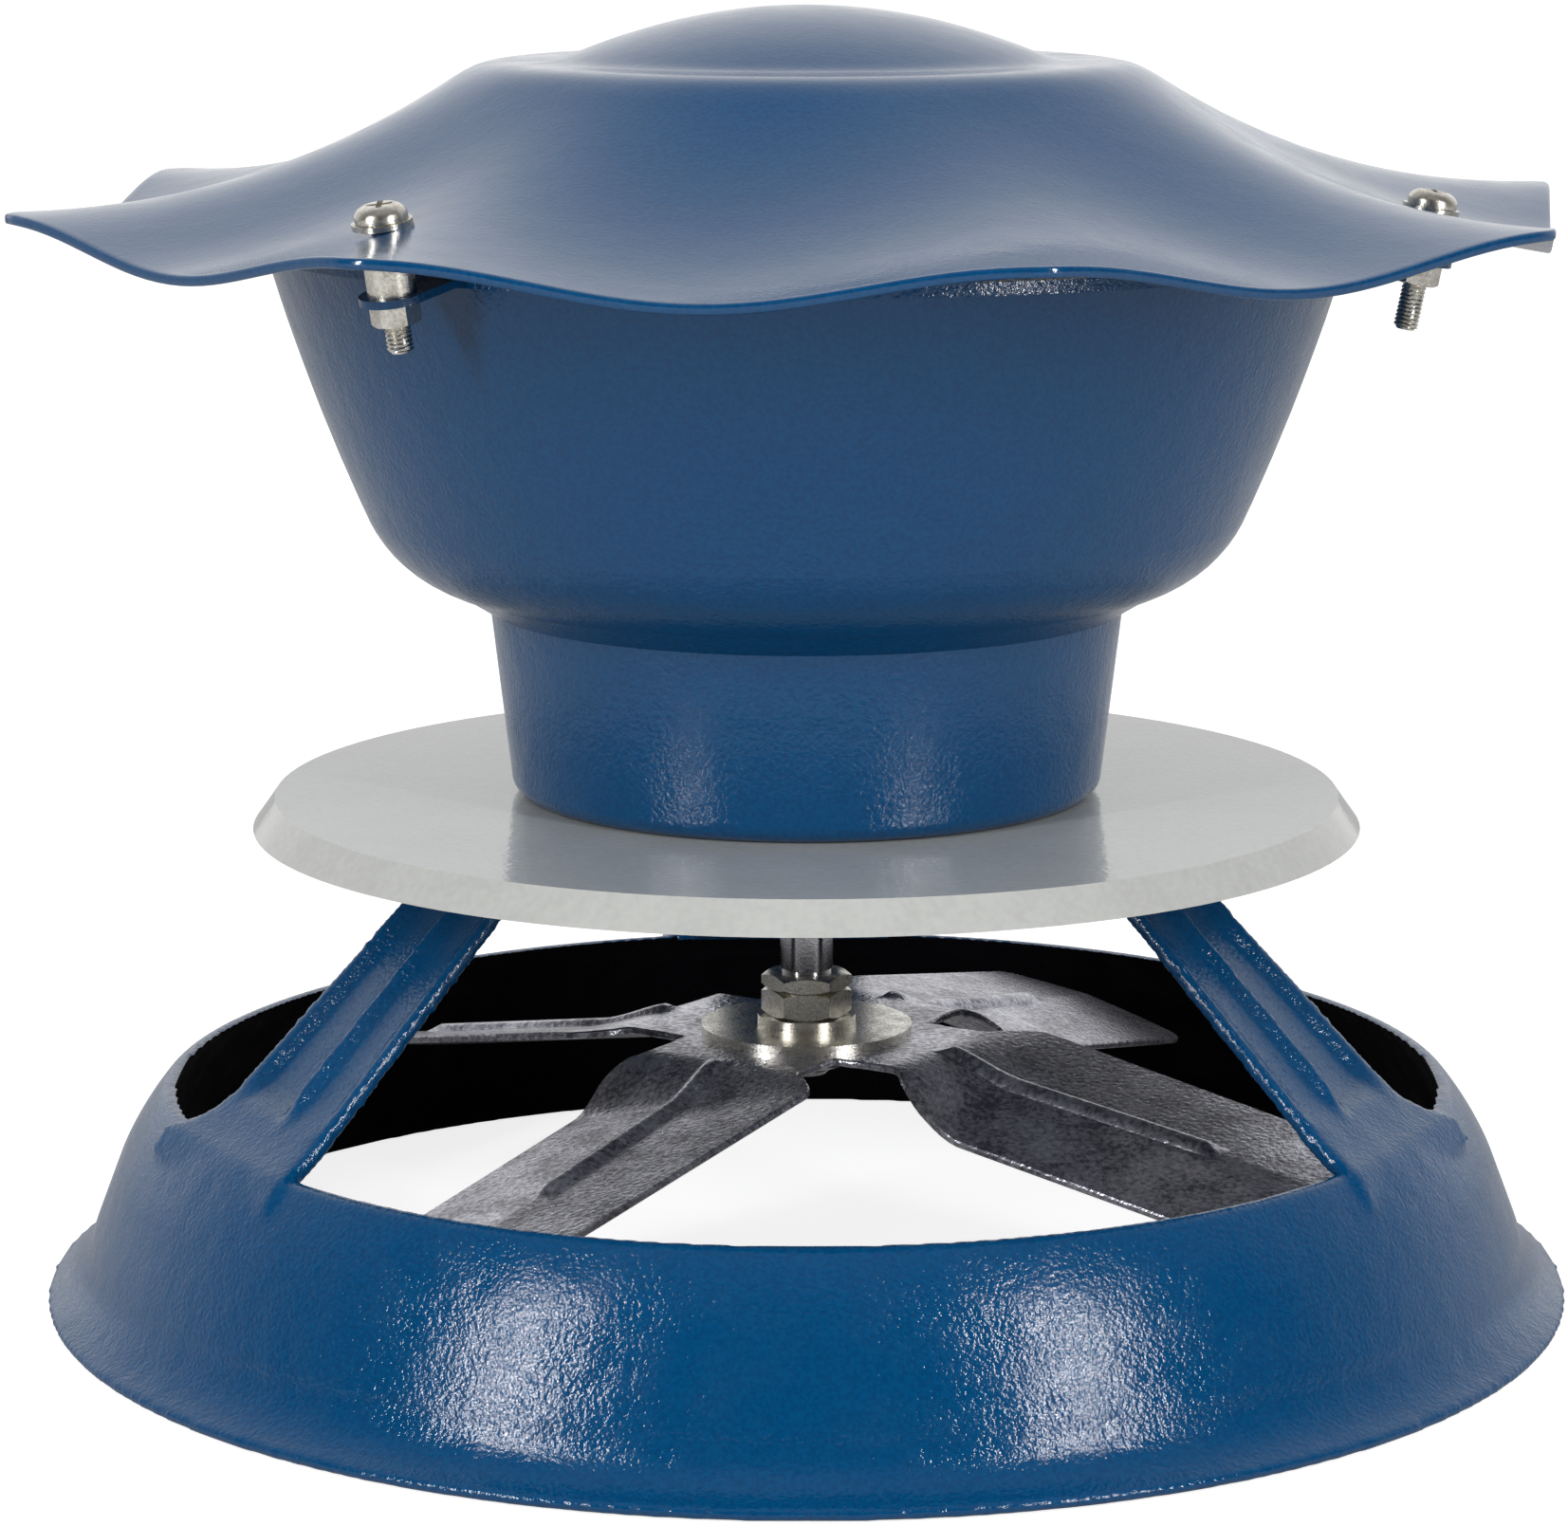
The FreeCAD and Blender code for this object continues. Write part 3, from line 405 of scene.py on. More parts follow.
def arc_points(start, end, bow, count):
    """Points of an arc after start, up to end. A positive bow stands out to its right."""
    across, up = end[0] - start[0], end[1] - start[1]
    chord = math.hypot(across, up)
    if bow == 0:
        return [end]
    radius = (chord * chord / 4 + bow * bow) / (2 * abs(bow))
    side = math.copysign(1, bow)
    depth = radius - abs(bow)
    centre = ((start[0] + end[0]) / 2 - side * depth * up / chord,
              (start[1] + end[1]) / 2 + side * depth * across / chord)
    first = math.atan2(start[1] - centre[1], start[0] - centre[0])
    sweep = 2 * math.asin(min(1, chord / 2 / radius)) * side
    return [(centre[0] + radius * math.cos(first + sweep * k / count),
             centre[1] + radius * math.sin(first + sweep * k / count))
            for k in range(1, count + 1)]


def join_rings(shape, rings):
    """Faces between each closed ring of corners and the next, the last one and the first."""
    for here, there in zip(rings, rings[1:] + rings[:1]):
        for i in range(len(here)):
            j = (i + 1) % len(here)
            shape.faces.new((here[i], there[i], there[j], here[j]))


def lathe(shape, profile, steps):
    """Turn a closed profile of (radius, height) round Z."""
    rings = []
    for k in range(steps):
        turn = FULL_TURN * k / steps
        rings.append([shape.verts.new((r * math.cos(turn), r * math.sin(turn), z))
                      for r, z in profile])
    join_rings(shape, rings)


def ease(value, low, high):
    """0 below low, 1 above high, and a smooth step between them."""
    share = min(1.0, max(0.0, (value - low) / (high - low)))
    return share * share * (3 - 2 * share)


def islands(node):
    """The centre and the corners of each separate solid in a frame node, in a fixed order."""
    shape = bmesh.new()
    shape.from_mesh(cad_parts[node].data)
    bmesh.ops.remove_doubles(shape, verts=shape.verts, dist=MERGE_GAP)
    seen = set()
    found = []
    for first in shape.verts:
        if first in seen:
            continue
        seen.add(first)
        reached = [first]
        corners = []
        while reached:
            here = reached.pop()
            corners.append(here.co.copy())
            for edge in here.link_edges:
                other = edge.other_vert(here)
                if other not in seen:
                    seen.add(other)
                    reached.append(other)
        low = Vector([min(c[i] for c in corners) for i in range(3)])
        high = Vector([max(c[i] for c in corners) for i in range(3)])
        found.append(((low + high) / 2, corners))
    shape.free()
    return found


# Geometry trees


def geometry_tree(name, sizes, takes_mesh=False):
    """A geometry tree with named inputs, a material among them: (tree, its input sockets)."""
    tree = bpy.data.node_groups.new(name, "GeometryNodeTree")
    if takes_mesh:
        tree.interface.new_socket("Geometry", in_out="INPUT", socket_type="NodeSocketGeometry")
    for label, kind in sizes:
        tree.interface.new_socket(label, in_out="INPUT", socket_type=kind)
    tree.interface.new_socket("Material", in_out="INPUT", socket_type="NodeSocketMaterial")
    tree.interface.new_socket("Geometry", in_out="OUTPUT", socket_type="NodeSocketGeometry")
    return tree, tree.nodes.new("NodeGroupInput").outputs


def end_tree(tree, given, geometry):
    real = place(tree, "GeometryNodeRealizeInstances", {"Geometry": geometry})
    coated = place(tree, "GeometryNodeSetMaterial", {
        "Geometry": real.outputs[0], "Material": given["Material"]})
    place(tree, "NodeGroupOutput", {"Geometry": coated.outputs[0]})


def unit_grid(tree, rows, columns):
    """A grid, and the shares from 0 to 1 that each of its points has along both sides."""
    grid = place(tree, "GeometryNodeMeshGrid", {
        "Size X": 1.0, "Size Y": 1.0, "Vertices X": rows, "Vertices Y": columns})
    position = tree.nodes.new("GeometryNodeInputPosition").outputs[0]
    parts = place(tree, "ShaderNodeSeparateXYZ", {0: position}).outputs
    return grid.outputs[0], calc(tree, "ADD", parts[0], 0.5), calc(tree, "ADD", parts[1], 0.5)


def round_the_axis(tree, geometry, radius, turn, height):
    """Move the points of a grid to a radius, an angle and a height."""
    spot = place(tree, "ShaderNodeCombineXYZ", {
        0: calc(tree, "MULTIPLY", radius, calc(tree, "COSINE", turn)),
        1: calc(tree, "MULTIPLY", radius, calc(tree, "SINE", turn)), 2: height})
    return place(tree, "GeometryNodeSetPosition", {
        "Geometry": geometry, "Position": spot.outputs[0]}).outputs[0]


def arithmetic(tree):
    """Short names for sums in a tree: add, subtract, multiply and divide."""
    return [partial(calc, tree, kind) for kind in ("ADD", "SUBTRACT", "MULTIPLY", "DIVIDE")]


def lobed_cap_tree():
    """The cap's upper face: a dome, a plateau and lobes that droop between their corners."""
    labels = ["Corner Radius", "Corner Height", "Corner Round", "Plateau Radius",
              "Plateau Height", "Flare", "Droop", "Shoulder Round", "Dome Radius", "Dome Rise",
              "Dome Round", "Lobes", "Turn"]
    tree, given = geometry_tree("Lobed Cap", [(label, "NodeSocketFloat") for label in labels])
    add, less, times, over = arithmetic(tree)
    grid, out, round_share = unit_grid(tree, 97, 241)
    turn = times(round_share, FULL_TURN)
    half = over(math.pi, given["Lobes"])
    off = less(calc(tree, "MODULO", turn, times(half, 2.0)), half)
    side = times(given["Corner Radius"], calc(tree, "COSINE", half))
    edge = calc(tree, "SMOOTH_MIN", over(side, calc(tree, "COSINE", off)),
                given["Corner Radius"], given["Corner Round"])
    radius = times(out, edge)
    past = less(radius, given["Plateau Radius"])
    reach = less(given["Corner Radius"], given["Plateau Radius"])
    rest = calc(tree, "MAXIMUM", less(1.0, over(past, reach)), 0.0)
    rise = less(given["Plateau Height"], given["Corner Height"])
    crest = add(given["Corner Height"], times(rise, calc(tree, "POWER", rest, given["Flare"])))
    wave = less(0.5, times(0.5, calc(tree, "COSINE", times(turn, given["Lobes"]))))
    span = less(side, given["Plateau Radius"])
    fall = over(calc(tree, "MAXIMUM", past, 0.0), span)
    skirt = less(crest, times(given["Droop"], times(fall, wave)))
    shoulder = calc(tree, "SMOOTH_MIN", skirt, given["Plateau Height"], given["Shoulder Round"])
    inward = over(radius, given["Dome Radius"])
    bulge = times(given["Dome Rise"], less(1.0, times(inward, inward)))
    height = calc(tree, "SMOOTH_MAX", shoulder, add(given["Plateau Height"], bulge),
                  given["Dome Round"])
    end_tree(tree, given, round_the_axis(tree, grid, radius, add(turn, given["Turn"]), height))
    return tree


def thread_tree():
    """A threaded rod that stands on the origin."""
    labels = ["Radius", "Length", "Pitch", "Depth"]
    tree, given = geometry_tree("Thread", [(label, "NodeSocketFloat") for label in labels])
    less, times, over = arithmetic(tree)[1:]
    grid, along, round_share = unit_grid(tree, 121, 21)
    height = times(along, given["Length"])
    turns = less(over(height, given["Pitch"]), round_share)
    groove = times(calc(tree, "PINGPONG", turns, 0.5), times(given["Depth"], 2.0))
    radius = less(given["Radius"], groove)
    end_tree(tree, given, round_the_axis(tree, grid, radius, times(round_share, FULL_TURN),
                                         height))
    return tree


def ring_tree():
    """Copies of a mesh, turned round the Z axis in even steps."""
    tree, given = geometry_tree("Ring Of Copies", [
        ("Count", "NodeSocketInt"), ("Start", "NodeSocketFloat")], takes_mesh=True)
    points = place(tree, "GeometryNodePoints", {"Count": given["Count"]})
    index = tree.nodes.new("GeometryNodeInputIndex").outputs[0]
    step = calc(tree, "DIVIDE", FULL_TURN, given["Count"])
    bearing = calc(tree, "ADD", calc(tree, "MULTIPLY", index, step), given["Start"])
    rotation = place(tree, "ShaderNodeCombineXYZ", {2: bearing})
    copies = place(tree, "GeometryNodeInstanceOnPoints", {
        "Points": points.outputs[0], "Instance": given["Geometry"],
        "Rotation": rotation.outputs[0]})
    end_tree(tree, given, copies.outputs[0])
    return tree


# Sizes and colours that a user would change


def length(name, description, millimetres):
    return bpy.props.FloatProperty(name=name, description=description, unit="LENGTH",
                                   default=millimetres * MM)


def angle(name, description, degrees):
    return bpy.props.FloatProperty(name=name, description=description, subtype="ANGLE",
                                   default=math.radians(degrees))


def colour(name, description, *on_screen):
    return bpy.props.FloatVectorProperty(name=name, description=description, subtype="COLOR",
                                         size=3, default=linear(*on_screen)[:3])


def number(name, description, value):
    return bpy.props.FloatProperty(name=name, description=description, default=value)


class FanLook(bpy.types.PropertyGroup):
    """Colours and texture sizes of the finishes."""

    enamel: colour("Enamel", "Colour of the blue enamel", 0, 62, 103)
    # Painted shade: the enamel is coloured darker in its pits.
    enamel_pit_shade: colour("Enamel in pits", "Painted shade in the pits", 0, 55, 95)
    pit_size: length("Pit size", "Distance between pits of the enamel", 0.9)
    pit_depth: length("Pit depth", "Depth of the pits on castings", 0.17)
    sheet_pit_depth: length("Sheet pit depth", "Depth of the pits on pressed sheet", 0.04)
    cast_shine: number("Casting shine", "Specular level of the coat on castings", 0.45)
    sheet_shine: number("Sheet shine", "Specular level of the coat on pressed sheet", 0.6)
    shield: colour("Shield", "Colour of the heat shield", 174, 175, 172)
    shield_stain: colour("Shield stain", "Darker patches of the heat shield", 166, 167, 164)


class CastingSizes(bpy.types.PropertyGroup):
    """The base casting: skirt ring, arms and seat."""

    foot_radius: length("Foot radius", "Outer radius of the skirt over its flange", 145.5)
    foot_height: length("Foot height", "Where the flange's sweep ends", 13.5)
    belly_radius: length("Belly radius", "Outer radius half way up", 139.6)
    belly_height: length("Belly height", "Where the shoulder starts", 29.0)
    top_radius: length("Top radius", "Outer radius of the top edge", 130.4)
    top_height: length("Top height", "Height of the top edge", 43.4)
    wall: length("Wall", "Thickness of the skirt", 3.0)
    arm_thickness: length("Arm thickness", "Thickness of an arm", 3.6)
    arm_knee_width: length("Arm width at the seat", "Width of an arm under the seat", 29.0)
    arm_foot_width: length("Arm width at the foot", "Width above the flare", 39.0)
    pocket_depth: length("Pocket depth", "Depth of the pocket beside an arm's ridge", 2.6)
    grain: length("Casting grain", "Cell size of the blended casting", 1.0)
    kept_share: number("Kept share", "Share of the casting's faces that is kept", 0.4)


class CapSizes(bpy.types.PropertyGroup):
    """The rain cap."""

    corner_radius: length("Corner radius", "From the axis to a corner", 158.6)
    corner_height: length("Corner height", "Of the upper face at a corner", 221.7)
    plateau_radius: length("Plateau radius", "Of the flat ring round the dome", 65.0)
    plateau_height: length("Plateau height", "Of the flat ring", 248.7)
    droop: length("Droop", "How far an edge hangs between its corners", 7.5)
    dome_radius: length("Dome radius", "Of the dome's foot", 49.0)
    dome_rise: length("Dome rise", "Over the plateau", 10.7)
    corner_round: length("Corner round", "Softness of the corners", 3.0)
    shoulder_round: length("Shoulder round", "Softness of the plateau's edge", 5.0)
    dome_round: length("Dome round", "Softness of the dome's foot", 2.0)
    flare: number("Flare", "How sharply the skirt sweeps out, 1 for a straight one", 2.2)
    lobes: number("Lobes", "Drooping sides round the edge", 8.0)
    turn: angle("Turn", "Of the first corner, from the right", -75)
    sheet: length("Sheet", "Thickness of the cap", 2.0)


class WheelSizes(bpy.types.PropertyGroup):
    """The fan wheel."""

    hub_radius: length("Hub radius", "Of the hub plate", 29.0)
    hub_notch: length("Hub notch", "How far the hub is cut in between two blades", 3.5)
    tip_radius: length("Tip radius", "Reach of the blades", 119.0)
    stem_width: length("Stem width", "Where a blade leaves the hub", 35.0)
    low_root: length("Low side at the root", "Half width of the low side past the bend", 23.5)
    low_tip: length("Low side at the tip", "Half width of the low side at the tip", 26.0)
    high_root: length("High side at the root", "Half width of the high side past the bend", 26.0)
    high_tip: length("High side at the tip", "Half width of the high side at the tip", 20.5)
    bend_start: length("Bend start", "Radius where the sheet turns down", 31.0)
    bend_end: length("Bend end", "Radius where the blade runs straight", 50.0)
    root_drop: length("Root drop", "Fall at the end of the bend", 5.5)
    tip_drop: length("Tip drop", "Fall at the tip", 16.5)
    bead_width: length("Bead width", "Of the pressed rib", 4.6)
    bead_height: length("Bead height", "Of the pressed rib", 1.5)
    bead_end: length("Bead end", "Radius where the rib ends", 95.0)
    low_pitch: angle("Low pitch", "Slope of the trailing half", 14)
    high_pitch: angle("High pitch", "Slope of the leading half", 8)
    sheet: length("Sheet", "Thickness of the wheel", 1.5)
    turn: angle("Turn", "Of the first blade, from the right", -122)


class FanStage(bpy.types.PropertyGroup):
    """Camera, lamps and floor."""

    distance: length("Camera distance", "From the fan's axis, along the floor", 1014.3)
    height: length("Camera height", "Above the base", 299.8)
    pitch: angle("Camera pitch", "How far the camera looks down", 10.74)
    lens: number("Focal length", "In millimetres, on a 36 mm sensor", 117.04)
    shift: number("Sideways shift", "Share of the frame's width", -0.0144)
    lamp_distance: length("Lamp distance", "From the fan's axis", 1600.0)
    lamp_height: length("Lamp height", "Of a lamp's middle", 600.0)
    lamp_width: length("Lamp width", "Of each tall lamp", 80.0)
    lamp_length: length("Lamp length", "Of each tall lamp", 1150.0)
    lamp_power: number("Lamp power", "Of each tall lamp", 18.0)
    left_lamp: angle("Left lamp", "From the front towards the right", -46)
    right_lamp: angle("Right lamp", "From the front towards the right", 42)


class FanSettings(bpy.types.PropertyGroup):
    """All settings of the chimney fan."""

    look: bpy.props.PointerProperty(type=FanLook)
    casting: bpy.props.PointerProperty(type=CastingSizes)
    cap: bpy.props.PointerProperty(type=CapSizes)
    wheel: bpy.props.PointerProperty(type=WheelSizes)
    stage: bpy.props.PointerProperty(type=FanStage)


# Base casting


# degrees round the axis at which the arms stand
ARM_BEARINGS = (-58.4, 61.6, 181.6)
# the side of each arm that faces away from the front, where its pocket and flare are
ARM_BACKS = (-1, 1, 1)
# where an arm starts in the seat and where its slope ends, as (distance out, height)
ARM_START = (60.0 * MM, 100.9 * MM)
ARM_FOOT = (121.0 * MM, 49.5 * MM)
ARM_SLOPE = math.radians(44.5)
ARM_ROWS = 32
ARM_COLUMNS = 28


def skirt_profile(casting):
    """Closed section of the skirt ring, outer side first."""
    foot = (casting.foot_radius, casting.foot_height)
    belly = (casting.belly_radius, casting.belly_height)
    top = (casting.top_radius, casting.top_height)
    wall = casting.wall
    edge_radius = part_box("base_frame")[1][0]
    round_off, lip_height = 0.6 * MM, 2.0 * MM
    sweep_bow, shoulder_bow = -2.25 * MM, 0.6 * MM
    lip = (edge_radius, lip_height)
    inner_top = (top[0] - wall, top[1])
    inner_belly = (belly[0] - wall, belly[1])
    return ([(foot[0] - wall, 0.0), (edge_radius - round_off, 0.0), (edge_radius, round_off), lip]
            + arc_points(lip, foot, sweep_bow, 10) + [belly]
            + arc_points(belly, top, shoulder_bow, 8) + [inner_top]
            + arc_points(inner_top, inner_belly, -shoulder_bow, 8) + [(foot[0] - wall, foot[1])])


def skirt_middle(casting, height):
    """Radius of the middle of the skirt's wall at a height."""
    marks = [(0.0, casting.foot_radius), (casting.foot_height, casting.foot_radius),
             (casting.belly_height, casting.belly_radius),
             (casting.top_height, casting.top_radius)]
    for (low, start), (high, end) in zip(marks, marks[1:]):
        if height <= high:
            return start + (end - start) * (height - low) / (high - low) - casting.wall / 2
    return casting.top_radius - casting.wall / 2


def arm_path(casting):
    """Points of an arm's upper face, (distance out, height), from the seat to the skirt."""
    slope = math.tan(ARM_SLOPE)
    seat_height = ARM_START[1]
    knee = ARM_FOOT[0] - (seat_height - ARM_FOOT[1]) / slope
    before, after, knee_bow = 2.5 * MM, 2.0 * MM, -0.7 * MM
    path = [ARM_START, (knee - before, seat_height)]
    path += arc_points(path[-1], (knee + after, seat_height - after * slope), knee_bow, 4)
    start = path[-1]
    path += [(start[0] + (ARM_FOOT[0] - start[0]) * k / ARM_ROWS,
              start[1] + (ARM_FOOT[1] - start[1]) * k / ARM_ROWS)
             for k in range(1, ARM_ROWS + 1)]
    edge = (casting.top_radius - 0.3 * MM, casting.top_height + 0.2 * MM)
    path += arc_points(ARM_FOOT, edge, 0.5 * MM, 6)
    path.append((casting.top_radius + 3.0 * MM, casting.top_height - 5.0 * MM))
    return path


def arm_relief(out, across, casting):
    """Height of an arm's face against its edges: strips, pocket, ridge and front flat.
    across runs from -1 at the back edge to 1 at the front edge."""
    fade_start, fade_end = 115.0 * MM, 121.5 * MM
    fade = 1 - ease(out, fade_start, fade_end)
    pocket = ease(across, -0.84, -0.72) * (1 - ease(across, 0.06, 0.2))
    front = ease(across, 0.3, 0.4) * (1 - ease(across, 0.86, 0.94))
    ridge = ease(across, 0.1, 0.22) * (1 - ease(across, 0.28, 0.38))
    depth = casting.pocket_depth
    return (ridge * 0.7 - pocket - front * 0.3) * depth * fade


def arm_half_width(out, flare, casting):
    """Half the width of an arm on one side, which may flare into the skirt's edge."""
    knee_out, foot_out = 68.0 * MM, 117.5 * MM
    share = (out - knee_out) / (foot_out - knee_out)
    half = (casting.arm_knee_width + (casting.arm_foot_width - casting.arm_knee_width) * share) / 2
    flare_start, flare_run = 116.0 * MM, 14.0 * MM
    spread = min(1.0, max(0.0, (out - flare_start) / flare_run))
    return half + flare * spread ** 2.2


def add_arm(shape, casting, bearing, back):
    """One arm as a closed solid, its ends sunk in the seat and the skirt."""
    path = arm_path(casting)
    back_flare, front_flare = 9.0 * MM, 1.5 * MM
    turn = Matrix.Rotation(math.radians(bearing - 90), 3, "Z")
    rows = []
    for i, (out, height) in enumerate(path):
        before, after = path[max(i - 1, 0)], path[min(i + 1, len(path) - 1)]
        slope = Vector((after[0] - before[0], after[1] - before[1])).normalized()
        upper, lower = [], []
        for k in range(ARM_COLUMNS + 1):
            across = -1 + 2 * k / ARM_COLUMNS
            flare = back_flare if across < 0 else front_flare
            side = across * arm_half_width(out, flare, casting) * -back
            lift = arm_relief(out, across, casting)
            upper.append((out - slope[1] * lift, side, height + slope[0] * lift))
            sunk = -casting.arm_thickness
            lower.append((out - slope[1] * sunk, side, height + slope[0] * sunk))
        ring = upper + lower[::-1]
        rows.append([shape.verts.new(turn @ Vector(point)) for point in ring])
    count = len(rows[0])
    for here, there in zip(rows, rows[1:]):
        for i in range(count):
            j = (i + 1) % count
            shape.faces.new((here[i], here[j], there[j], there[i]))
    shape.faces.new(rows[0])
    shape.faces.new(rows[-1])


def blended_casting(casting):
    """Skirt and arms melted into one skin, and the seat as a second shell."""
    shape = bmesh.new()
    lathe(shape, skirt_profile(casting), 360)
    for bearing, back in zip(ARM_BEARINGS, ARM_BACKS):
        add_arm(shape, casting, bearing, back)
    solid = mesh_of(shape, "casting")
    skin = worked(solid, [
        ("REMESH", {"mode": "VOXEL", "voxel_size": casting.grain}),
        ("SMOOTH", {"factor": 0.5, "iterations": 8}),
        ("DECIMATE", {"ratio": casting.kept_share}),
    ])
    shape = bmesh.new()
    shape.from_mesh(skin)
    seat = bmesh.new()
    low, high, outer, bore = 97.0 * MM, 101.0 * MM, 66.0 * MM, 8.5 * MM
    round_off = 0.6 * MM
    lathe(seat, [(bore, low), (outer - round_off, low), (outer, low + round_off),
                 (outer, high - round_off), (outer - round_off, high), (bore, high)], 128)
    shape.from_mesh(mesh_of(seat, "seat"))
    mesh = plain_mesh(shape, "base_casting")
    mesh.materials.append(MATERIALS["Blue Enamel"])
    # Second slot: black painted shade, taken by the faces inside the skirt below its top edge.
    mesh.materials.append(MATERIALS["Inside Painted Shade"])
    black_top = casting.top_height - 0.4 * MM
    for face in mesh.polygons:
        x, y, z = face.center
        inside = math.hypot(x, y) < skirt_middle(casting, z)
        face.material_index = 1 if inside and z < black_top else 0
    return mesh


class CHIMNEYFAN_OT_casting(bpy.types.Operator):
    """Build the base casting with its skirt, arms and seat"""

    bl_idname = "chimney_fan.casting"
    bl_label = "Base casting"

    def execute(self, context):
        mesh = blended_casting(context.scene.chimney_fan.casting)
        add_piece("base_casting", mesh, "housing", ["base_frame"], sharp=60)
        return {"FINISHED"}


# Rain cap


class CHIMNEYFAN_OT_cap(bpy.types.Operator):
    """Press the lobed rain cap"""

    bl_idname = "chimney_fan.cap"
    bl_label = "Rain cap"

    def execute(self, context):
        cap = context.scene.chimney_fan.cap
        sizes = {
            "Corner Radius": cap.corner_radius, "Corner Height": cap.corner_height,
            "Corner Round": cap.corner_round, "Plateau Radius": cap.plateau_radius,
            "Plateau Height": cap.plateau_height, "Flare": cap.flare, "Droop": cap.droop,
            "Shoulder Round": cap.shoulder_round, "Dome Radius": cap.dome_radius,
            "Dome Rise": cap.dome_rise, "Dome Round": cap.dome_round, "Lobes": cap.lobes,
            "Turn": cap.turn}
        face = grown(lobed_cap_tree(), sizes, "Smooth Enamel")
        mesh = worked(face, [
            ("SOLIDIFY", {"thickness": cap.sheet, "offset": -1.0, "use_even_offset": True}),
            ("BEVEL", {"width": 0.5 * MM, "segments": 2, "limit_method": "ANGLE",
                       "angle_limit": math.radians(50)}),
        ])
        add_piece("lobed_cap", mesh, "housing", ["rain_cap"], sharp=60)
        return {"FINISHED"}


# Fan wheel


BLADE_COUNT = 4
BLADE_ROWS = 60
HUB_RINGS = 9


def half_columns(half):
    """Places from the crease to one edge, close together at the bead."""
    side = [step * MM for step in (0.0, 0.6, 1.2, 1.8, 2.4, 3.4, 5.0)]
    return side + [side[-1] + (half - side[-1]) * k / 5 for k in range(1, 6)]


def blade_columns(low, high):
    """Places across a blade, from its low edge to its high one."""
    return [-step for step in reversed(half_columns(low)[1:])] + half_columns(high)


def blade_fall(wheel, out):
    """How far the sheet lies under the hub at a distance from the axis."""
    slope = (wheel.tip_drop - wheel.root_drop) / (wheel.tip_radius - wheel.bend_end)
    if out <= wheel.bend_start:
        return 0.0
    if out >= wheel.bend_end:
        return wheel.root_drop + slope * (out - wheel.bend_end)
    run = wheel.bend_end - wheel.bend_start
    share = (out - wheel.bend_start) / run
    level = share * share * (3 - 2 * share)
    return wheel.root_drop * level + (share ** 3 - share ** 2) * run * slope


def blade_lift(wheel, out, across):
    """Height of the creased, beaded sheet over its middle line."""
    pitched = ease(out, wheel.bend_start, wheel.bend_end)
    pitch = wheel.low_pitch if across < 0 else wheel.high_pitch
    lift = across * math.tan(pitch) * pitched
    inside = 1 - (2 * across / wheel.bead_width) ** 2
    start, run_out = wheel.bend_start + 1.0 * MM, 3.0 * MM
    along = (ease(out, start, start + run_out)
             * (1 - ease(out, wheel.bead_end - run_out, wheel.bead_end)))
    if inside > 0:
        lift += wheel.bead_height * math.sqrt(inside) * along
    return lift


def blade_half_width(wheel, out, root, tip):
    """From the crease to one edge, whose half widths at the root and the tip are given."""
    stem, stem_end, shoulder_end = wheel.stem_width / 2, 36.0 * MM, 49.0 * MM
    half = stem + (root - stem) * ease(out, stem_end, shoulder_end)
    half += (tip - root) * max(0.0, (out - wheel.bend_end) / (wheel.tip_radius - wheel.bend_end))
    corner = 3.0 * MM
    over = min(1.0, max(0.0, (out - wheel.tip_radius + corner) / corner))
    return half - corner * (1 - math.sqrt(1 - over * over))


def wheel_sector(wheel, top, bore):
    """The upper face of one blade along +X, with its quarter of the hub plate."""
    shape = bmesh.new()
    hub = wheel.hub_radius
    stem = blade_columns(wheel.stem_width / 2, wheel.stem_width / 2)
    rim = [(hub, math.asin(across / hub)) for across in stem]
    corner = rim[-1][1]
    gap = math.pi / BLADE_COUNT - corner
    notch = [(hub - wheel.hub_notch * ease(share, 0.0, 1.0), corner + gap * share)
             for share in (0.33, 0.67, 1.0)]
    rim = [(r, -turn) for r, turn in reversed(notch)] + rim + notch
    plate = []
    for k in range(HUB_RINGS + 1):
        share = k / HUB_RINGS
        plate.append([shape.verts.new((
            (bore + (r - bore) * share) * math.cos(turn),
            (bore + (r - bore) * share) * math.sin(turn), top)) for r, turn in rim])
    for here, there in zip(plate, plate[1:]):
        for i in range(len(rim) - 1):
            shape.faces.new((here[i], there[i], there[i + 1], here[i + 1]))
    before = plate[-1][len(notch):-len(notch)]
    for k in range(1, BLADE_ROWS + 1):
        share = k / BLADE_ROWS
        middle = hub + (wheel.tip_radius - hub) * share
        line = []
        low = blade_half_width(wheel, middle, wheel.low_root, wheel.low_tip)
        high = blade_half_width(wheel, middle, wheel.high_root, wheel.high_tip)
        for across in blade_columns(low, high):
            start = math.sqrt(hub * hub - min(abs(across), hub * 0.7) ** 2)
            end = math.sqrt(wheel.tip_radius ** 2 - across * across)
            out = start + (end - start) * share
            height = top - blade_fall(wheel, out) + blade_lift(wheel, out, across)
            line.append(shape.verts.new((out, across, height)))
        for i in range(len(line) - 1):
            shape.faces.new((before[i], line[i], line[i + 1], before[i + 1]))
        before = line
    return plain_mesh(shape, "sector")


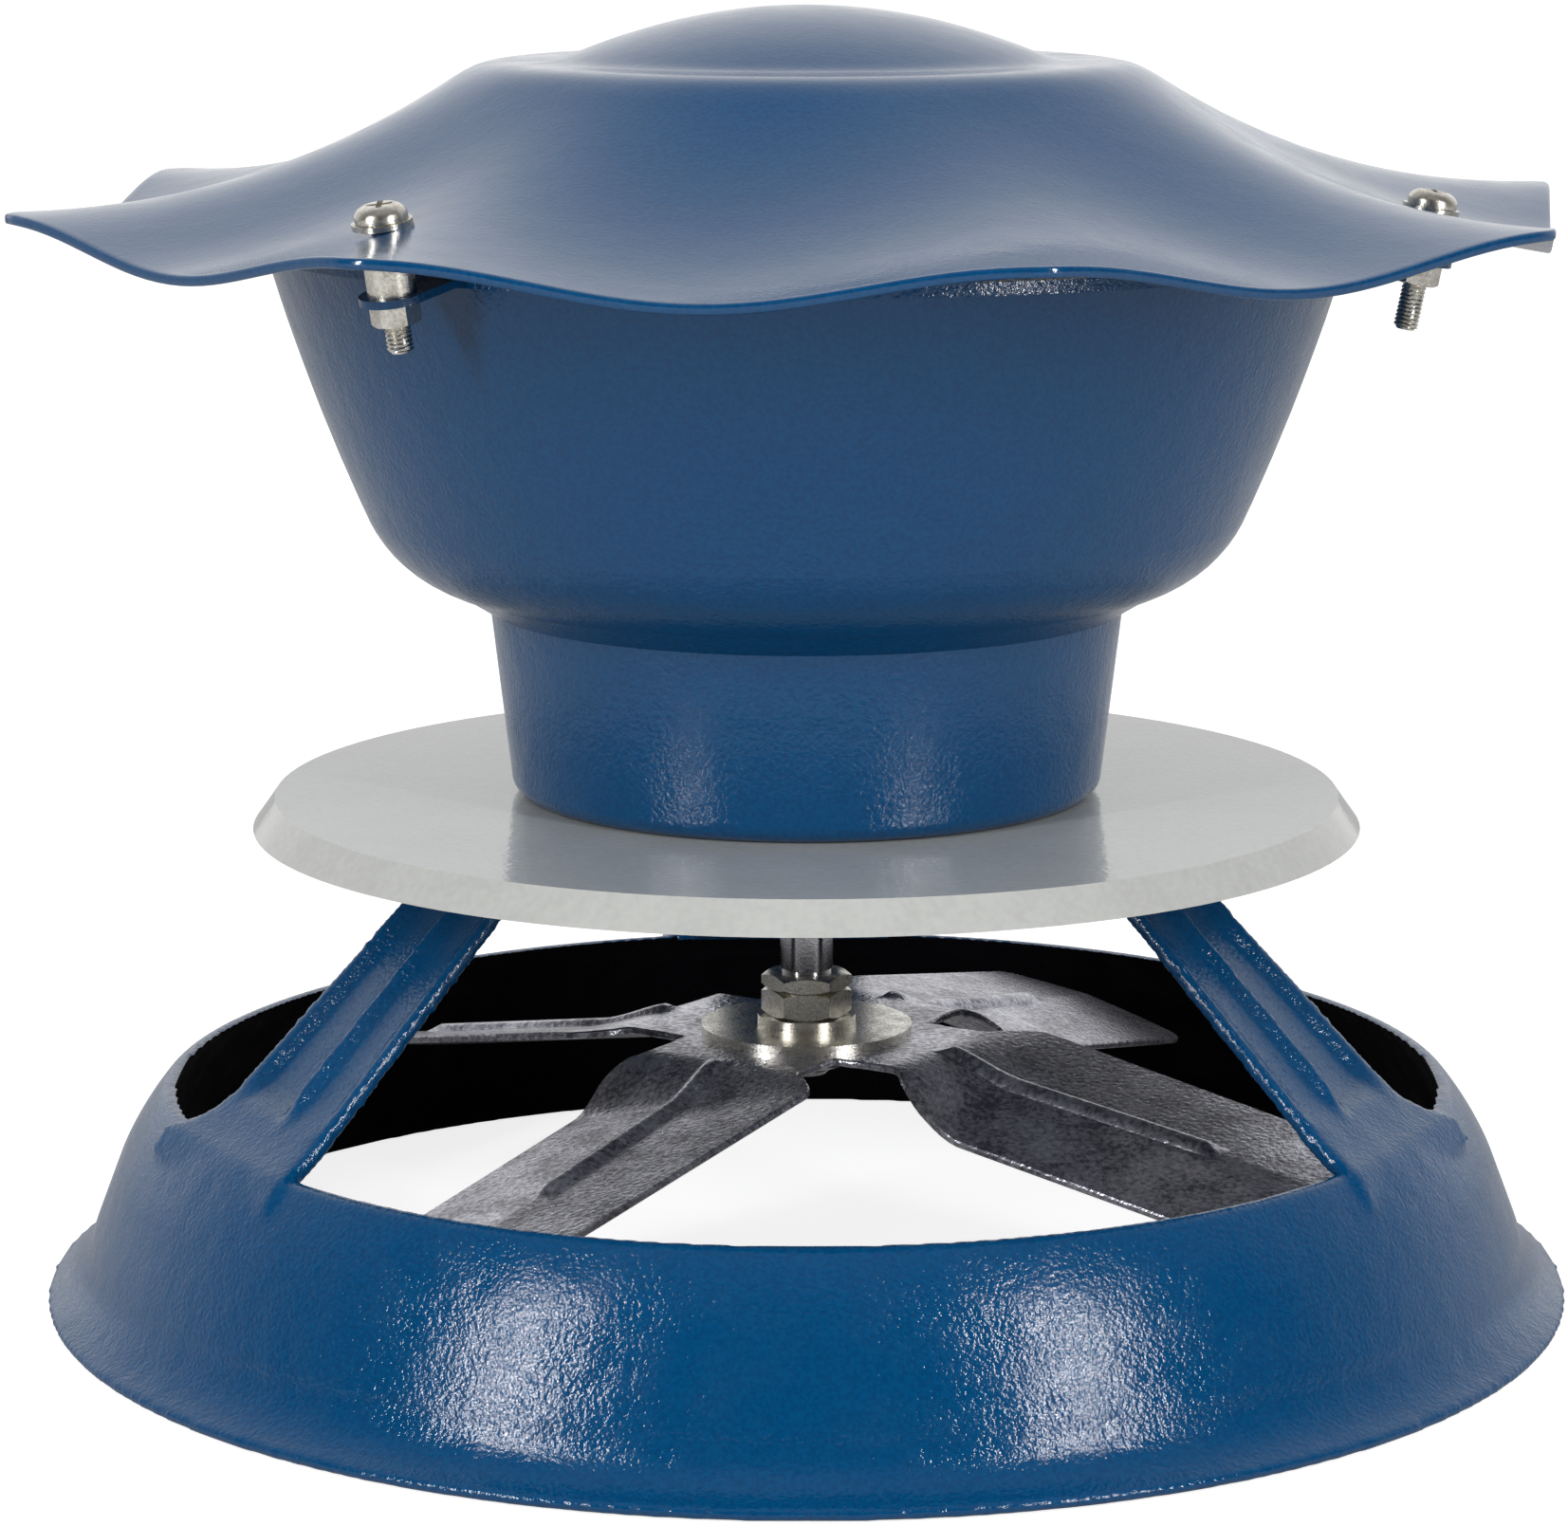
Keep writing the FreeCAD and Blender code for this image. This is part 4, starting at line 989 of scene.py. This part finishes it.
class CHIMNEYFAN_OT_wheel(bpy.types.Operator):
    """Press the fan wheel with its beaded blades"""

    bl_idname = "chimney_fan.wheel"
    bl_label = "Fan wheel"

    def execute(self, context):
        wheel = context.scene.chimney_fan.wheel
        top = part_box("hub_disc")[0][2]
        bore = 5.0 * MM
        sheet = grown(ring_tree(), {"Count": BLADE_COUNT, "Start": wheel.turn}, "Fan Steel",
                      wheel_sector(wheel, top, bore))
        mesh = worked(sheet, [
            ("SOLIDIFY", {"thickness": wheel.sheet, "offset": -1.0, "use_even_offset": True}),
            ("BEVEL", {"width": 0.3 * MM, "segments": 1, "limit_method": "ANGLE",
                       "angle_limit": math.radians(50)}),
        ])
        add_piece("fan_wheel", mesh, "fan", ["fan_blades"], sharp=40)
        return {"FINISHED"}


# Nuts and screws


def add_nut(shape, flats, low, high, bore, matrix=None):
    """A hexagon nut whose corners are turned off at 30 degrees."""
    steps = 96
    half = flats / 2
    face = half * 0.96
    chamfer = math.tan(math.radians(30))
    rings = []
    for k in range(steps):
        turn = FULL_TURN * k / steps
        off = (turn % (FULL_TURN / 6)) - FULL_TURN / 12
        corner = half / math.cos(off)
        cut = (corner - half) * chamfer + 0.08 * MM
        ring = [(bore, low), (face, low), (corner, low + cut), (corner, high - cut),
                (face, high), (bore, high)]
        rings.append([shape.verts.new((r * math.cos(turn), r * math.sin(turn), z))
                      for r, z in ring])
    join_rings(shape, rings)
    if matrix:
        corners = [vert for ring in rings for vert in ring]
        bmesh.ops.transform(shape, matrix=matrix, verts=corners)


def pan_head_mesh(radius, height):
    """A pan head that stands on the origin, with a cross recess."""
    shape = bmesh.new()
    side = (radius, height * 0.4)
    profile = [(0.0, 0.0), (radius - 0.15 * MM, 0.0), (radius, 0.15 * MM), side]
    profile += arc_points(side, (radius * 0.35, height), radius * 0.14, 8) + [(0.0, height)]
    lathe(shape, profile, 48)
    head = mesh_of(shape, "head")
    cross = bmesh.new()
    width, reach, deep = radius * 0.14, radius * 0.6, height * 0.45
    for across, along in ((reach, width), (width, reach)):
        bottom = [(-across * 0.55, -along * 0.8), (across * 0.55, -along * 0.8),
                  (across * 0.55, along * 0.8), (-across * 0.55, along * 0.8)]
        top = [(-across, -along), (across, -along), (across, along), (-across, along)]
        low = [cross.verts.new((x, y, deep)) for x, y in bottom]
        high = [cross.verts.new((x, y, height * 1.5)) for x, y in top]
        cross.faces.new(low[::-1])
        cross.faces.new(high)
        for i in range(4):
            j = (i + 1) % 4
            cross.faces.new((low[i], low[j], high[j], high[i]))
    tool = put("cross", plain_mesh(cross, "cross"))
    result = worked(head, [("BOOLEAN", {"operation": "DIFFERENCE", "object": tool,
                                        "solver": "EXACT", "use_self": True})])
    bpy.data.objects.remove(tool)
    return result


def screw_axes():
    """For each cap screw: where its axis crosses the washer's top, and its direction."""
    nuts = [centre for centre, corners in islands("cap_nuts")]
    axes = []
    for washer, corners in islands("cap_washers"):
        nut = min(nuts, key=lambda centre: (centre - washer).length)
        axis = (washer - nut).normalized()
        top = max((corner - washer).dot(axis) for corner in corners)
        axes.append((washer + axis * top, axis, nut))
    return axes


class CHIMNEYFAN_OT_cap_hardware(bpy.types.Operator):
    """Make the cap's screws and nuts, each on the axis of its own washer"""

    bl_idname = "chimney_fan.cap_hardware"
    bl_label = "Cap screws and nuts"

    def execute(self, context):
        radius, head_radius, head_height = 2.5 * MM, 4.9 * MM, 3.0 * MM
        flats, nut_height, shank = 8.0 * MM, 4.3 * MM, 24.0 * MM
        head = pan_head_mesh(head_radius, head_height)
        rod = grown(thread_tree(), {"Radius": radius, "Length": shank - 0.5 * MM,
                                    "Pitch": 0.8 * MM, "Depth": 0.35 * MM}, "Bright Zinc")
        screws, nuts = bmesh.new(), bmesh.new()
        for start, axis, nut in screw_axes():
            turn = Vector((0, 0, 1)).rotation_difference(axis).to_matrix().to_4x4()
            stand = Matrix.Translation(start) @ turn
            for mesh, move in ((head, stand), (rod, stand @ Matrix.Translation((0, 0, -shank)))):
                copy = mesh.copy()
                copy.transform(move)
                screws.from_mesh(copy)
                bpy.data.meshes.remove(copy)
            tip = stand @ Matrix.Translation((0, 0, -shank))
            bmesh.ops.create_cone(screws, cap_ends=True, segments=20, radius1=radius * 0.7,
                                  radius2=radius * 0.88, depth=1.0 * MM, matrix=tip)
            add_nut(nuts, flats, -nut_height / 2, nut_height / 2, radius * 0.9,
                    matrix=Matrix.Translation(nut) @ turn)
        add_piece("cap_pan_screws", plain_mesh(screws, "screws"), "housing",
                  ["cap_screws"], "Bright Zinc")
        add_piece("cap_hex_nuts", mesh_of(nuts, "nuts"), "housing",
                  ["cap_nuts"], "Bright Zinc")
        return {"FINISHED"}


class CHIMNEYFAN_OT_hub_hardware(bpy.types.Operator):
    """Make the chamfered nuts on the shaft"""

    bl_idname = "chimney_fan.hub_hardware"
    bl_label = "Hub nuts"

    def execute(self, context):
        for node in ("hub_nut", "hub_lock_nut", "hub_lower_nut"):
            low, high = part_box(node)
            shape = bmesh.new()
            add_nut(shape, high[1] - low[1], low[2], high[2], 5.0 * MM)
            add_piece(node + "_turned", mesh_of(shape, node), "fan", [node],
                      "Bright Zinc")
        return {"FINISHED"}


# Stage: floor, world, lamps and camera


def floor_material():
    """Pale floor that glows for the eye and for reflections, and still takes a shadow."""
    made = bpy.data.materials.new("pale_floor")
    made.use_nodes = True
    tree = made.node_tree
    tree.nodes.clear()
    matt = place(tree, "ShaderNodeBsdfDiffuse", {"Color": (0.45, 0.45, 0.45, 1)})
    rays = tree.nodes.new("ShaderNodeLightPath")
    seen = calc(tree, "ADD", calc(tree, "MULTIPLY", rays.outputs["Is Camera Ray"], 0.82),
                calc(tree, "MULTIPLY", rays.outputs["Is Glossy Ray"], 0.1))
    seen = calc(tree, "ADD", seen, rays.outputs["Is Transmission Ray"], clamp=True)
    glow = place(tree, "ShaderNodeEmission", {"Color": (1, 1, 1, 1), "Strength": seen})
    both = place(tree, "ShaderNodeAddShader", {0: matt.outputs[0], 1: glow.outputs[0]})
    place(tree, "ShaderNodeOutputMaterial", {"Surface": both.outputs[0]})
    return made


def white_world():
    """White to the camera. Gloss sees a dark room in front, and white behind and above."""
    world = bpy.data.worlds.new("studio_white")
    bpy.context.scene.world = world
    world.use_nodes = True
    tree = world.node_tree
    tree.nodes.clear()
    rays = tree.nodes.new("ShaderNodeLightPath")
    direction = tree.nodes.new("ShaderNodeTexCoord").outputs["Generated"]
    parts = place(tree, "ShaderNodeSeparateXYZ", {0: direction})
    behind = remap(tree, parts.outputs[1], -0.2, 0.9, 0.03, 1.0)
    above = remap(tree, parts.outputs[2], 0.6, 0.95, 0.0, 0.3)
    room = calc(tree, "MAXIMUM", behind, above)
    glossy = rays.outputs["Is Glossy Ray"]
    ambient = remap(tree, parts.outputs[2], 0.0, 0.8, 0.28, 0.88)
    level = calc(tree, "ADD", calc(tree, "MULTIPLY", glossy, room),
                 calc(tree, "MULTIPLY", calc(tree, "SUBTRACT", 1.0, glossy), ambient))
    strength = calc(tree, "ADD", level, rays.outputs["Is Camera Ray"], clamp=True)
    back = place(tree, "ShaderNodeBackground", {"Color": (1, 1, 1, 1), "Strength": strength})
    place(tree, "ShaderNodeOutputWorld", {"Surface": back.outputs[0]})


def tall_lamp(name, azimuth, setup):
    """A standing softbox that faces the fan. Azimuth runs from the front towards the right."""
    data = bpy.data.lights.new(name, "AREA")
    data.shape = "RECTANGLE"
    data.size = setup.lamp_width
    data.size_y = setup.lamp_length
    data.energy = setup.lamp_power
    lamp = put(name, data)
    lamp.location = (setup.lamp_distance * math.sin(azimuth),
                     -setup.lamp_distance * math.cos(azimuth), setup.lamp_height)
    target = Vector((0, 0, 0.15))
    aim = target - lamp.location
    lamp.rotation_euler = aim.to_track_quat("-Z", "Y").to_euler()


class CHIMNEYFAN_OT_stage(bpy.types.Operator):
    """Set up the floor, the world, the lamps and the camera"""

    bl_idname = "chimney_fan.stage"
    bl_label = "Stage"

    def execute(self, context):
        setup = context.scene.chimney_fan.stage
        mesh = bpy.data.meshes.new("floor")
        reach, drop = 6.0, 0.3 * MM
        mesh.from_pydata([(-reach, -reach, 0), (reach, -reach, 0), (reach, reach, 0),
                          (-reach, reach, 0)], [], [(0, 1, 2, 3)])
        floor = put("floor", mesh)
        mesh.materials.append(floor_material())
        mesh.transform(Matrix.Translation((0, 0, -drop)))
        white_world()
        tall_lamp("left_lamp", setup.left_lamp, setup)
        tall_lamp("right_lamp", setup.right_lamp, setup)
        camera_data = bpy.data.cameras.new("camera")
        camera_data.lens = setup.lens
        camera_data.sensor_width = 36.0
        camera_data.shift_x = setup.shift
        camera = put("camera", camera_data)
        camera.location = (0, -setup.distance, setup.height)
        camera.rotation_euler = (math.pi / 2 - setup.pitch, 0, 0)
        context.scene.camera = camera
        context.scene.view_settings.view_transform = "Standard"
        return {"FINISHED"}


class CHIMNEYFAN_OT_finishes(bpy.types.Operator):
    """Make every finish, and give the frame's own pieces theirs"""

    bl_idname = "chimney_fan.finishes"
    bl_label = "Finishes"

    def execute(self, context):
        build_materials(context.scene.chimney_fan.look)
        finishes = {
            "Blue Enamel": ["motor_housing"],
            "Shield Paint": ["heat_shield"],
            "Bright Zinc": ["cap_washers", "cap_sleeves", "motor_tie_bolts",
                            "motor_mount_bolts", "hub_washer", "hub_disc"],
            "Ground Steel": ["motor_shaft", "lower_bearing_outer_race",
                             "upper_bearing_outer_race", "lower_bearing_inner_race",
                             "upper_bearing_inner_race"],
            "Cast Alloy": ["lower_end_bell", "upper_end_bell"],
            "Core Steel": ["stator_core", "rotor_core"],
            "Winding Copper": ["lower_winding", "upper_winding"],
            "Grommet Rubber": ["cable_grommet"],
        }
        for material, nodes in finishes.items():
            for node in nodes:
                coat_node(node, material)
        return {"FINISHED"}


class CHIMNEYFAN_PT_panel(bpy.types.Panel):
    """Lists the steps that build the fan"""

    bl_label = "Chimney Fan"
    bl_idname = "CHIMNEYFAN_PT_panel"
    bl_space_type = "VIEW_3D"
    bl_region_type = "UI"
    bl_category = "Chimney Fan"

    def draw(self, context):
        for step in STEPS:
            self.layout.operator(step.bl_idname)


STEPS = [CHIMNEYFAN_OT_finishes, CHIMNEYFAN_OT_casting, CHIMNEYFAN_OT_cap, CHIMNEYFAN_OT_wheel,
         CHIMNEYFAN_OT_cap_hardware, CHIMNEYFAN_OT_hub_hardware, CHIMNEYFAN_OT_stage]
CLASSES = [FanLook, CastingSizes, CapSizes, WheelSizes, FanStage, FanSettings]
CLASSES += STEPS + [CHIMNEYFAN_PT_panel]


def register():
    for made in CLASSES:
        bpy.utils.register_class(made)
    bpy.types.Scene.chimney_fan = bpy.props.PointerProperty(type=FanSettings)


def unregister():
    del bpy.types.Scene.chimney_fan
    for made in reversed(CLASSES):
        bpy.utils.unregister_class(made)


def main():
    register()
    bpy.ops.chimney_fan.finishes()
    bpy.ops.chimney_fan.casting()
    bpy.ops.chimney_fan.cap()
    bpy.ops.chimney_fan.wheel()
    bpy.ops.chimney_fan.cap_hardware()
    bpy.ops.chimney_fan.hub_hardware()
    bpy.ops.chimney_fan.stage()


if __name__ == "__main__":
    main()
